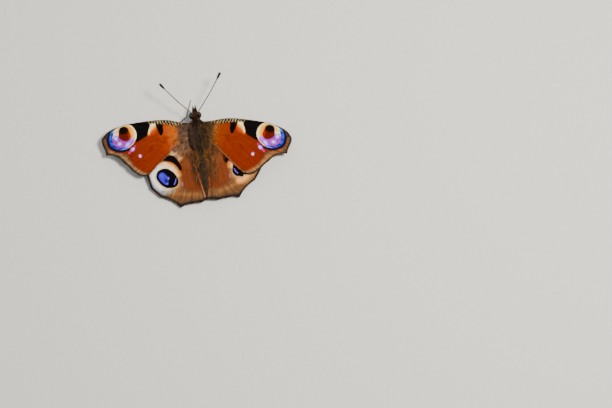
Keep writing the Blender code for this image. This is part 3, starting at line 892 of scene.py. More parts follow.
FOREWINGS = WingPlan(
    slot=Slot.FOREWING, hinge=(2.0, -2.0, 5.68), droop=5.0, pitch=5.0, arch=0.4,
    sweep={Side.LEFT: 0.0, Side.RIGHT: 17.6}, root=((1.35, -2.5), (1.35, -0.23)),
    edge=(((2.8, -1.3), 0.0), ((8.7, -3.25), 0.3), ((14.7, -3.65), 0.1), ((18.6, -3.65), 0.08),
          ((22.3, -3.25), 0.12), ((25.2, -2.2), 0.15), ((27.1, -0.3), 0.2), ((26.95, 1.6), 0.12),
          ((26.4, 4.6), -0.08), ((23.5, 5.45), -0.18), ((21.4, 7.75), -0.14), ((19.55, 10.2), -0.12),
          ((17.6, 12.15), 0.05), ((15.4, 12.8), 0.2)),
    inner_bow={Side.LEFT: -0.33, Side.RIGHT: 0.28}, tip_held_by_body=False,
    marks=FOREWING_MARKS, veins=FOREWING_VEINS, lower_dot=Oval((11.5, 0.5), (0.3, 0.25)),
    front_strip=Patch(((12.3, -4.8), (12.1, -2.75), (10.3, -2.3), (8.1, -1.8), (6.5, -1.35), (5.2, -0.8),
                       (3.9, -0.1), (2.5, 0.4), (1.0, 0.5), (1.0, -3.0), (6.0, -4.8))))

HINDWINGS = WingPlan(
    slot=Slot.HINDWING, hinge=(1.7, 2.4, 4.84), droop=5.0, pitch=9.0, arch=0.3,
    sweep={Side.LEFT: 0.0, Side.RIGHT: -3.4}, root=((1.4, 0.8), (1.8, 6.3)),
    edge=(((4.6, -1.0), 0.2), ((10.5, -0.2), 0.25), ((14.3, 3.2), 0.4), ((15.5, 8.2), 0.25),
          ((14.9, 12.3), 0.1), ((12.4, 15.25), 0.12), ((6.9, 19.45), -0.5), ((3.3, 18.75), -0.3),
          ((0.65, 18.85), -0.08), ((-1.5, 18.15), 0.05)),
    inner_bow={Side.LEFT: -0.1, Side.RIGHT: -0.1}, tip_held_by_body=True,
    marks=HINDWING_MARKS, veins=HINDWING_VEINS, lower_dot=Oval((6.2, 6.2), (0.28, 0.28)))


class WingSurface:
    """The curved middle surface of one wing, read by column and by share from root to edge."""

    VEIN_WIDTH = 0.12
    VEIN_HEIGHT = 0.05
    ROW_CROWDING = 0.85
    FOLD = Stroke(((0.7, 4.0), (0.38, 9.8), (-0.3, 13.8), (-0.8, 17.5)), 0.0)
    FOLD_WIDTH = 0.3
    FOLD_HEIGHT = 0.28
    LIP = Stroke(((-0.6, 1.8), (15.4, 12.8)), 0.0)
    LIP_WIDTH = 1.1
    LIP_DROP = 0.2

    def __init__(self, plan: WingPlan, side: Side) -> None:
        """Work out the wing's axes, its root and the line of its edge.

        Args:
            plan: The shape of the pair.
            side: Which of the two it is.
        """
        self.plan = plan
        self.side = side
        outward = Vector((side.value * cos(radians(plan.droop)), 0.0, -sin(radians(plan.droop))))
        rearward = Vector((0.0, cos(radians(plan.pitch)), -sin(radians(plan.pitch))))
        rearward = (rearward - outward * rearward.dot(outward)).normalized()
        turn = radians(plan.sweep[side])
        self.upward = np.array(outward.cross(rearward).normalized() * side.value)
        self.along = np.array(outward * cos(turn) + rearward * sin(turn))
        self.across = np.array(rearward * cos(turn) - outward * sin(turn))
        self.hinge = np.array(mirrored(plan.hinge, side))
        in_plane = np.array(((cos(turn), -sin(turn)), (sin(turn), cos(turn))))
        middle = np.array(plan.hinge[:2])
        self.front, self.rear = [(np.array(end) - middle) @ in_plane for end in plan.root]
        self.ends = [np.array(end, float) for end, _ in plan.edge]
        if plan.tip_held_by_body:
            self.ends[-1] = self.ends[-1] @ in_plane

    def margin(self, column: Array) -> tuple[Array, Array]:
        """Where the edge is at each column, and how deep it lies between its two veins.

        Args:
            column: From 0 at the front edge to 1 at the inner edge.

        Returns:
            The places on the edge, and the sink of each.
        """
        spans = len(self.ends)
        span = np.clip((column * spans).astype(int), 0, spans - 1)
        share = column * spans - span
        places = np.zeros((*column.shape, 2))
        start = self.front
        for index, (end, (_, bow)) in enumerate(zip(self.ends, self.plan.edge)):
            here = span == index
            places[here] = bowed(start, end, bow, share[here])
            start = end
        return places, np.sin(pi * share)

    def flat(self, column: Array, share: Array) -> tuple[Array, Array]:
        """Places in the wing's plane and how deep each lies between its two veins.

        Args:
            column: From 0 at the front edge to 1 at the inner edge.
            share: From 0 at the root to 1 at the outer edge.

        Returns:
            The places, outwards and rearwards from the hinge, and the sink of each.
        """
        edge, sink = self.margin(column)
        inner = bowed(self.ends[-1], self.rear, self.plan.inner_bow[self.side], 1.0 - share)
        share, along = share[..., None], column[..., None]
        lean = inner - (self.rear + (self.ends[-1] - self.rear) * share)
        base = self.front + (self.rear - self.front) * along
        return base + (edge - base) * share + lean * along ** 3, sink

    def ridge(self, places: Array) -> Array:
        """How much of a vein runs under each place.

        Args:
            places: Places in the wing's plane.

        Returns:
            One share for each, from 0 to 1.
        """
        nearest = np.full(places.shape[:-1], np.inf)
        for vein in self.plan.veins:
            nearest = np.minimum(nearest, -Stroke(vein, 0.0).depth(places[..., 0], places[..., 1]))
        return np.exp(-(nearest / self.VEIN_WIDTH) ** 2)

    def rise(self, places: Array, sink: Array, share: Array) -> Array:
        """The height of the middle surface over the wing's plane.

        A hindwing has a fold beside the body, and a forewing's inner edge turns down to the hindwing.

        Args:
            places: Places in the wing's plane.
            sink: How deep each lies between its two veins.
            share: From 0 at the root to 1 at the outer edge.

        Returns:
            The heights.
        """
        inside = np.clip(share, 0.0, 1.0)
        height = self.plan.arch * np.sin(pi * inside) - self.plan.flute * sink * inside ** 2
        hind = self.plan.slot is Slot.HINDWING
        line, width, lift = ((self.FOLD, self.FOLD_WIDTH, self.FOLD_HEIGHT) if hind
                             else (self.LIP, self.LIP_WIDTH, -self.LIP_DROP))
        return height + lift * np.exp(-(line.depth(*places.T) / width) ** 2)

    def points(self, places: Array, height: Array) -> Array:
        """Places of the plane, lifted by a height, in the animal's axes."""
        flat = places[..., :1] * self.along + places[..., 1:] * self.across
        return self.hinge + flat + height[..., None] * self.upward

    def direction(self, flat: Array) -> Array:
        """Directions in the plane, in the animal's axes."""
        return flat[..., :1] * self.along + flat[..., 1:] * self.across


@dataclass(frozen=True)
class Ground:
    """A wing's ground colours, from the root outwards in millimetres, and the tone of its deep patches."""

    stops: tuple[tuple[float, Colour], ...]
    deep: Colour


FOREWING_DEEP = tone(94, 20, 2)
HINDWING_GROUND = Ground(((0.0, tone(84, 54, 34)), (4.0, tone(116, 64, 30)), (8.0, tone(104, 48, 22)),
                          (30.0, tone(108, 50, 21))), tone(88, 37, 15))
GROUNDS = {
    (Slot.FOREWING, Side.LEFT): Ground((
        (0.0, tone(50, 36, 28)), (3.1, tone(96, 68, 50)), (4.9, tone(170, 82, 14)),
        (7.2, tone(162, 64, 9)), (10.0, tone(123, 37, 4)), (30.0, tone(102, 24, 3))), FOREWING_DEEP),
    (Slot.FOREWING, Side.RIGHT): Ground((
        (0.0, tone(46, 34, 26)), (2.4, tone(84, 56, 34)), (3.6, tone(124, 76, 24)),
        (5.2, tone(124, 46, 6)), (10.0, tone(115, 33, 3)), (30.0, tone(105, 26, 3))), FOREWING_DEEP),
    (Slot.HINDWING, Side.LEFT): HINDWING_GROUND,
    (Slot.HINDWING, Side.RIGHT): HINDWING_GROUND,
}


class ScaleFinish:
    """The powder of scales on a wing: layered marks, rows of scales, veins and a dark lower face."""

    GLOSS = Gloss(roughness=0.85, specular=0.05)
    SCALES_PER_MM = 8.5
    EDGE_RAGGEDNESS = 0.16
    WING_LENGTH = 30.0
    GROUND_WANDER = 2.4
    VEIN_SHARE = 0.24
    STREAK = tone(62, 40, 26)
    VEIN = tone(40, 14, 6)
    MARGIN = tone(26, 19, 18)
    STRIP = tone(20, 15, 12)
    BAR = tone(184, 160, 108)
    BAR_PERIOD = 0.82
    BAR_SLANT = 0.3
    BAR_WOBBLE = 1.1
    LOWER = tone(30, 22, 20)
    LOWER_PALE = tone(66, 52, 44)
    LOWER_DARK = tone(20, 16, 18)
    LOWER_VEIN = tone(92, 74, 60)
    LOWER_DOT = tone(214, 198, 150)

    def __init__(self, plan: WingPlan, side: Side) -> None:
        """Choose the wing's ground colours.

        Args:
            plan: The shape and marks of the pair.
            side: Which of the two wings it is.
        """
        self.plan = plan
        self.side = side
        self.ground = GROUNDS[plan.slot, side]

    def material(self) -> Material:
        """The finish of both faces of one wing.

        Returns:
            The material.
        """
        board = Board(f"{self.plan.slot.value}_{self.side.word}_scales")
        where = board.vector("wing_place")
        scale = board.node("ShaderNodeTexVoronoi", {"Vector": where, "Scale": self.SCALES_PER_MM})
        grain = board.node("ShaderNodeSeparateColor", {"Color": scale.outputs["Color"]}).outputs[0]
        cloud = board.noise(where, 0.45, 4.0)
        rays = board.noise(board.vector("wing_rays"), 1.0, 3.0, 0.6)
        upper = self.upper_colour(board, where, grain, cloud, rays)
        lower = self.lower_colour(board, where, grain, cloud)
        colour = board.mix(board.step(board.number("upper_face"), 0.4, 0.6), lower, upper)
        board.to_shader("Base Color", board.shaded(colour, board.math("MULTIPLY_ADD", grain, 0.36, 0.82)))
        self.GLOSS.set_on(board)
        relief = board.math("ADD", scale.outputs["Distance"], board.math("MULTIPLY", rays, 0.6))
        board.bump(relief, 0.35, 0.00004)
        return board.material

    def upper_colour(self, board: Board, where: NodeSocket, grain: NodeSocket, cloud: NodeSocket,
                     rays: NodeSocket) -> NodeSocket:
        """Ground colour, then each mark in order, then veins and the dark edge.

        Args:
            board: The material's board.
            where: Places on the wing, in millimetres.
            grain: One number for each scale.
            cloud: Soft noise.
            rays: Noise drawn out from root to edge.

        Returns:
            The colour.
        """
        stops = [(reach / self.WING_LENGTH, colour) for reach, colour in self.ground.stops]
        mottle = board.math("ADD", cloud, rays)
        wander = board.math("MULTIPLY_ADD", mottle, self.GROUND_WANDER, -self.GROUND_WANDER)
        reach = board.math("DIVIDE", board.math("ADD", board.number("from_root"), wander), self.WING_LENGTH)
        colour = board.ramp(reach, stops)
        patches = board.noise(where, 1.7, 5.0, 0.7)
        for share, over in ((board.step(cloud, 0.5, 0.7, 0.0, 0.5), self.ground.deep),
                            (board.step(patches, 0.5, 0.7, 0.0, 0.45), self.ground.deep),
                            (board.step(rays, 0.55, 0.8, 0.0, 0.25), self.ground.stops[2][1])):
            colour = board.mix(share, colour, over)
        ragged = board.math("MULTIPLY_ADD", grain, self.EDGE_RAGGEDNESS, -self.EDGE_RAGGEDNESS / 2)
        fine = board.noise(board.stretched(board.vector("wing_rays"), (4.0, 0.5, 1.0)), 1.0, 2.0)
        streaks = board.math("ADD", board.step(fine, 0.5, 0.6, 0.0, 0.6),
                             board.step(rays, 0.42, 0.62, 0.0, 0.3))
        for mark in self.plan.marks:
            if mark.on(self.side):
                depth = board.math("ADD", board.number(mark.field), ragged)
                share = board.step(depth, -mark.soft / 2, mark.soft / 2, 0.0, mark.strength)
                over = board.mix(streaks, mark.colour, self.STREAK) if mark.streaked else mark.colour
                colour = board.mix(share, colour, over)
        if self.plan.front_strip:
            colour = self.barred_front(board, where, colour, ragged)
        colour = board.mix(board.math("MULTIPLY", board.number("vein"), self.VEIN_SHARE), colour, self.VEIN)
        edge = board.math("ADD", board.number("from_edge"), ragged)
        return board.mix(board.step(edge, 0.3, 0.8, 0.92, 0.0), colour, self.MARGIN)

    def barred_front(self, board: Board, where: NodeSocket, colour: NodeSocket,
                     ragged: NodeSocket) -> NodeSocket:
        """The dark front edge, crossed by short pale bars that fade towards the body.

        Args:
            board: The material's board.
            where: Places on the wing, in millimetres.
            colour: The colour under the strip.
            ragged: How far each scale shifts the edge of a mark.

        Returns:
            The colour.
        """
        strip = board.step(board.math("ADD", board.number("front_strip"), ragged), -0.1, 0.1)
        colour = board.mix(strip, colour, self.STRIP)
        place = board.node("ShaderNodeSeparateXYZ", {0: where}).outputs
        along = board.math("MULTIPLY_ADD", place[1], self.BAR_SLANT, place[0])
        wobble = board.math("MULTIPLY", board.noise(where, 2.0, 2.0), self.BAR_WOBBLE)
        bars = board.waves(board.math("ADD", along, wobble), self.BAR_PERIOD)
        pale = board.math("MULTIPLY", board.step(bars, 0.4, 0.85), strip)
        worn = board.step(board.noise(where, 2.6, 2.0), 0.35, 0.6, 0.6, 1.0)
        kept = board.math("MULTIPLY", worn, board.step(place[0], 1.0, 3.2))
        return board.mix(board.math("MULTIPLY", pale, kept), colour, self.BAR)

    def lower_colour(self, board: Board, where: NodeSocket, grain: NodeSocket,
                     cloud: NodeSocket) -> NodeSocket:
        """A dark, marbled lower face crossed by fine wavy lines.

        Args:
            board: The material's board.
            where: Places on the wing, in millimetres.
            grain: One number for each scale.
            cloud: Soft noise.

        Returns:
            The colour.
        """
        inputs = {"Vector": board.stretched(where, (1.0, 0.35, 1.0), 0.5), "Scale": 0.9, "Distortion": 7.0,
                  "Detail": 4.0, "Detail Scale": 0.8}
        waves = board.node("ShaderNodeTexWave", inputs, bands_direction="X").outputs["Fac"]
        speckled = board.math("ADD", board.number("lower_dot"), board.math("MULTIPLY", grain, 0.1))
        colour = self.LOWER
        for share, over in ((board.step(waves, 0.45, 0.95, 0.0, 0.75), self.LOWER_PALE),
                            (board.step(cloud, 0.5, 0.75, 0.0, 0.6), self.LOWER_DARK),
                            (board.math("MULTIPLY", board.number("vein"), 0.35), self.LOWER_VEIN),
                            (board.step(speckled, 0.0, 0.12), self.LOWER_DOT)):
            colour = board.mix(share, colour, over)
        return colour


@dataclass
class Wing:
    """One wing: a thin scaled sheet with raised veins."""

    plan: WingPlan
    side: Side
    seat: Seat
    margin_for_fringe: float = 0.28

    RAYS_AROUND = 26.0
    RAYS_ALONG = 3.0
    FACE_GAP = 9.0
    MAP_SCALE = 0.47 / 30.0

    @property
    def name(self) -> str:
        """The wing's name, which is its node's name in the frame."""
        return f"{self.plan.slot.value}_{self.side.word}"

    def build(self) -> Object:
        """Draw the wing as a grid, give it thickness and write what its finish reads.

        Returns:
            The piece.
        """
        plan = self.plan
        surface = WingSurface(plan, self.side)
        bm = bmesh.new()
        bmesh.ops.create_grid(bm, x_segments=plan.columns, y_segments=plan.rows, size=0.5)
        grid = np.array([vert.co for vert in bm.verts]) + 0.5
        column = np.clip(grid[:, 0], 0.0, 1.0)
        even = np.clip(grid[:, 1], 0.0, 1.0)
        reach = np.linalg.norm(surface.margin(column)[0], axis=-1)
        share = even ** surface.ROW_CROWDING * (1.0 - self.margin_for_fringe / reach)
        places, sink = surface.flat(column, share)
        height = surface.rise(places, sink, share)
        middle = surface.points(places, height)
        ridge = surface.ridge(places)
        thick = surface.upward * (plan.sheet / 2) + surface.upward * ridge[:, None] * surface.VEIN_HEIGHT
        for vert, place in zip(bm.verts, middle):
            vert.co = place
        bmesh.ops.recalc_face_normals(bm, faces=bm.faces)
        if sum(face.normal.z for face in bm.faces) > 0:
            bmesh.ops.reverse_faces(bm, faces=bm.faces)
        count = len(bm.verts)
        bmesh.ops.solidify(bm, geom=bm.faces[:], thickness=plan.sheet)
        piece = finished(bm, "scaled_" + self.name, self.seat, turn_out=False)
        mesh = piece.data
        # Solidify keeps the first sheet's vertices and adds the second sheet in the same order.
        co = np.concatenate((middle - thick, middle + thick))
        mesh.vertices.foreach_set("co", self.seat.points(co).astype(np.float32).ravel())
        mesh.update()
        self.write_fields(mesh, surface, np.tile(places, (2, 1)), np.tile(share, 2), np.tile(column, 2),
                          np.repeat((Face.LOWER.value, Face.UPPER.value), count), np.tile(ridge, 2))
        mesh.materials.append(ScaleFinish(plan, self.side).material())
        return settle(piece, [self.name])

    def write_fields(self, mesh: Mesh, surface: WingSurface, places: Array, share: Array,
                     column: Array, face: Array, ridge: Array) -> None:
        """Write the wing's own coordinates and the depth of each mark at each vertex.

        Args:
            mesh: The wing's mesh.
            surface: The wing's surface.
            places: Each vertex's place in the wing's plane.
            share: From 0 at the root to 1 at the outer edge.
            column: From 0 at the front edge to 1 at the inner edge.
            face: 1 on the upper face and 0 on the lower one.
            ridge: How much of a vein runs there.
        """
        x, y = places.T
        edge = surface.margin(column)[0]
        gap = face * self.FACE_GAP
        turned = np.arctan2(edge[:, 1], edge[:, 0]) * self.RAYS_AROUND
        write_vectors(mesh, "wing_place", np.stack((x, y, gap), 1))
        write_vectors(mesh, "wing_rays", np.stack((turned, share * self.RAYS_ALONG, gap), 1))
        write_floats(mesh, "upper_face", face)
        write_floats(mesh, "vein", ridge)
        write_floats(mesh, "from_root", np.hypot(x, y * 0.8))
        write_floats(mesh, "from_edge", np.linalg.norm(edge - places, axis=1))
        shapes = {mark.field: mark.shape for mark in self.plan.marks if mark.on(self.side)}
        shapes["lower_dot"] = self.plan.lower_dot
        if self.plan.front_strip:
            shapes["front_strip"] = self.plan.front_strip
        for name, shape in shapes.items():
            write_floats(mesh, name, shape.depth(x, y))
        write_bake_map(mesh, self.map_places(places, face))

    def map_places(self, places: Array, face: Array | int) -> Array:
        """Where places of a face lie on the wing's bake map, the upper face right of the lower one."""
        across, along = ((places + (3.0, 5.0)) * self.MAP_SCALE).T
        return np.stack((0.02 + face * 0.5 + across, 0.05 + along), 1)


# ---- body


class BodyMap:
    """A round unwrap of the body: around its long axis, and along it."""

    AROUND = 0.86
    FRONT = -8.2
    BACK = 18.6
    AXIS_HEIGHT = 4.0

    @classmethod
    def places(cls, points: Array) -> Array:
        """Where points of the body lie on the map.

        Args:
            points: Points in the animal's own axes.

        Returns:
            One place for each, from 0 to 1.
        """
        turn = np.arctan2(points[:, 0], points[:, 2] - cls.AXIS_HEIGHT) / (2 * pi) + 0.5
        along = (points[:, 1] - cls.FRONT) / (cls.BACK - cls.FRONT)
        return np.stack((0.02 + turn * cls.AROUND, 0.02 + along * 0.96), 1)


@dataclass(frozen=True)
class BodyTones:
    """Colours of the body and its coat, from head to tail."""

    palp: Colour = tone(34, 22, 16)
    head: Colour = tone(45, 26, 13)
    collar: Colour = tone(30, 18, 9)
    back: Colour = tone(42, 34, 24)
    flank: Colour = tone(78, 56, 42)
    rump: Colour = tone(98, 62, 28)
    tail: Colour = tone(68, 44, 30)
    # Painted shade: the dark spot in the dip where the thorax meets the abdomen.
    hollow_shade: Colour = tone(20, 15, 12)
    under: Colour = tone(60, 50, 44)

    def at(self, points: Array) -> Array:
        """The colour at each point of the body, blended from the named ones.

        Args:
            points: Points in the animal's own axes.

        Returns:
            One colour for each.
        """
        x, y, z = points.T
        steps = (
            (self.head, ease(y, -6.4, -5.8)),
            (self.collar, ease(y, -4.6, -3.4)),
            (self.back, ease(y, -2.2, -0.8)),
            (self.flank, ease(np.abs(x), 1.0, 2.0) * ease(y, -3.4, -2.2) * fade(y, 3.0, 6.0)),
            (self.rump, ease(y, 3.4, 6.0)),
            (self.tail, ease(y, 7.0, 10.0)),
            (self.back, ease(y, 3.0, 5.0) * fade(np.abs(x), 0.5, 1.3) * 0.75),
            # Painted shade in the dip where the thorax meets the abdomen.
            (self.hollow_shade, fade(np.hypot(x, (y - 5.3) * 0.6), 0.5, 0.9) * 0.9),
            (self.under, fade(z, 2.4, 4.0)))
        colour = np.tile(np.array(self.palp), (len(points), 1))
        for target, share in steps:
            colour += (np.array(target) - colour) * share[:, None]
        return colour


@dataclass(frozen=True)
class Strand:
    """The make of one kind of hair: length and width in millimetres, lift in degrees.

    Each hair leaves its root at the lift, bends down to the lie of the coat by its tip, and
    strays sideways by the curl. Hairs whose roots share a cell as wide as the lock stray together
    and are darker or paler together by the mottle.
    """

    length: Point2
    width: float
    lift: Point2
    tip_lift: float = 4.0
    curl: float = 0.12
    flatness: float = 0.6
    lock: float = 0.4
    mottle: float = 0.14


class Coat:
    """Hair made as solid mesh: thin three-sided strands drawn to a point."""

    SHARES = np.array((0.0, 0.36, 0.72))
    TAPER = np.array((1.0, 0.92, 0.6))
    PATCH = 0.003
    ROOT_DEPTH = 0.06
    LOCK_LIFT = 4.0
    TIP_LIFT_SPREAD = 3.0

    def __init__(self, seed: int) -> None:
        """Start a coat with its own seeded stream of chance."""
        self.chance = np.random.default_rng(seed)
        self.parts: list[dict[str, Array]] = []

    def grow(self, roots: Array, normals: Array, lies: Array, strand: Strand, colours: Array, places: Array,
             lengths: Array | float = 1.0, lifts: Array | float = 0.0) -> None:
        """Add a hair at each root.

        Args:
            roots: Where each hair starts, in millimetres.
            normals: The skin's outward direction there.
            lies: The direction that the coat lies in.
            strand: The make of the hair.
            colours: The colour of each hair.
            places: Where each root lies on the bake map.
            lengths: A factor on each hair's length.
            lifts: Degrees added to each hair's lift, at its root and its tip.
        """
        count = len(roots)
        if not count:
            return
        chance = self.chance
        cells = np.unique(np.floor(roots / strand.lock).astype(int), axis=0, return_inverse=True)[1].ravel()
        together = chance.normal(0.0, 1.0, (cells.max() + 1, 4))[cells]
        length = chance.uniform(*strand.length, count) * lengths
        lift = chance.uniform(*strand.lift, count) + lifts + self.LOCK_LIFT * together[:, 0]
        lift = np.radians(lift)[:, None]
        normals = unit(normals)
        lies = unit(lies - normals * (lies * normals).sum(1, keepdims=True))
        aside = np.cross(normals, lies)
        stray = chance.normal(0.0, strand.curl, count) + strand.curl * together[:, 1]
        lies = unit(lies + aside * stray[:, None])
        aside = np.cross(normals, lies)
        start = lies * np.cos(lift) + normals * np.sin(lift)
        tip_lift = strand.tip_lift + lifts + chance.normal(0.0, self.TIP_LIFT_SPREAD, count)
        tip_lift = np.radians(tip_lift)[:, None]
        curl = (chance.normal(0.0, strand.curl, count) + strand.curl * together[:, 2])[:, None]
        end = lies * np.cos(tip_lift) + normals * np.sin(tip_lift) + aside * curl * 2.0
        base = roots[:, None] - normals[:, None] * self.ROOT_DEPTH
        shares = self.SHARES[None, :, None]
        bend = (end - start)[:, None]
        path = base + length[:, None, None] * (start[:, None] * shares + bend * shares ** 2 / 2)
        tips = base + length[:, None, None] * (start + (end - start) / 2)[:, None]
        heading = unit(start[:, None] + bend * shares)
        side = unit(np.cross(heading, normals[:, None]))
        up = np.cross(side, heading)
        width = strand.width * chance.uniform(0.7, 1.3, count)[:, None, None] / 2
        width = width * self.TAPER[None, :, None]
        thick = up * width * strand.flatness * 1.2
        corners = [side * width, thick - side * width * 0.5, -thick - side * width * 0.5]
        points = np.stack([path + corner for corner in corners], 2).reshape(count, -1, 3)
        shade = chance.uniform(0.75, 1.25, count) * (1.0 + strand.mottle * together[:, 3])
        rings = len(self.SHARES)
        along = np.tile(np.append(np.repeat(self.SHARES, 3), 1.0), (count, 1))
        across = np.append(np.tile((-0.5, 0.0, 0.5), rings), 0.0)
        patch = np.stack((across, along[0] - 0.5), -1) * self.PATCH
        shaded = colours * np.clip(shade, 0.5, 1.5)[:, None]
        self.parts.append({
            "points": np.concatenate((points, tips), 1), "along": along,
            "colour": np.repeat(shaded[:, None], rings * 3 + 1, 1), "map": places[:, None] + patch[None]})

    @classmethod
    def faces(cls) -> Array:
        """The triangles of one strand.

        Returns:
            Three of its own vertices for each.
        """
        rows = [(0, 2, 1)]
        rings = len(cls.SHARES)
        for ring in range(rings):
            for corner in range(3):
                a, b = ring * 3 + corner, ring * 3 + (corner + 1) % 3
                rows += [(a, b, b + 3), (a, b + 3, a + 3)] if ring < rings - 1 else [(a, b, rings * 3)]
        return np.array(rows)

    def piece(self, name: str, seat: Seat, slot: Slot, finish: Material) -> Object:
        """Join every strand into one mesh.

        Args:
            name: The piece's name.
            seat: The move to the frame.
            slot: The record's slot; not used.
            finish: The coat's material.

        Returns:
            The finished coat.
        """
        joined = {key: np.concatenate([part[key] for part in self.parts]) for key in self.parts[0]}
        count, per_strand = joined["points"].shape[:2]
        faces = (self.faces()[None] + np.arange(count)[:, None, None] * per_strand).reshape(-1, 3)
        points = seat.points(joined["points"].reshape(-1, 3))
        mesh = bpy.data.meshes.new(name)
        mesh.vertices.add(len(points))
        mesh.vertices.foreach_set("co", points.astype(np.float32).ravel())
        mesh.loops.add(faces.size)
        mesh.loops.foreach_set("vertex_index", faces.astype(np.int32).ravel())
        mesh.polygons.add(len(faces))
        mesh.polygons.foreach_set("loop_start", np.arange(0, faces.size, 3, dtype=np.int32))
        mesh.update(calc_edges=True)
        mesh.validate()
        write_floats(mesh, "along_hair", joined["along"].ravel())
        write_vectors(mesh, "coat_colour", joined["colour"].reshape(-1, 3))
        lay_bake_map(mesh, joined["map"].reshape(-1, 2)[faces.ravel()])
        mesh.materials.append(finish)
        return settle(new_object(name, mesh))


class HairFinish:
    """The coat's finish: darker at the root and paler at the tip."""

    GLOSS = Gloss(roughness=0.55, specular=0.16)

    @classmethod
    def material(cls, name: str) -> Material:
        """A hair material that reads each strand's own colour.

        Args:
            name: The material's name.

        Returns:
            The material.
        """
        board = Board(name)
        colour = board.vector("coat_colour")
        # Painted shade: each hair is darker towards its root, deep in the coat, and paler at its tip.
        depth = board.step(board.number("along_hair"), 0.0, 0.7, 0.42, 1.15)
        fleck = board.math("MULTIPLY_ADD", board.noise(board.here(), 9000.0, 2.0), 0.5, 0.75)
        board.to_shader("Base Color", board.shaded(colour, board.math("MULTIPLY", depth, fleck)))
        cls.GLOSS.set_on(board)
        return board.material


class SkinFinish:
    """Skin under the coat, in the coat's own colours, grained by short flat hair."""

    GLOSS = Gloss(roughness=0.8, specular=0.08)

    @classmethod
    def material(cls) -> Material:
        """The body's skin.

        Returns:
            The material.
        """
        board = Board("body_skin")
        grain = board.noise(board.stretched(board.here(), (1.0, 0.22, 1.0)), 9000.0, 4.0, 0.6)
        value = board.step(grain, 0.3, 0.7, 0.35, 0.85)
        board.to_shader("Base Color", board.shaded(board.vector("coat_colour"), value))
        cls.GLOSS.set_on(board)
        board.bump(grain, 0.6, 0.00008)
        return board.material


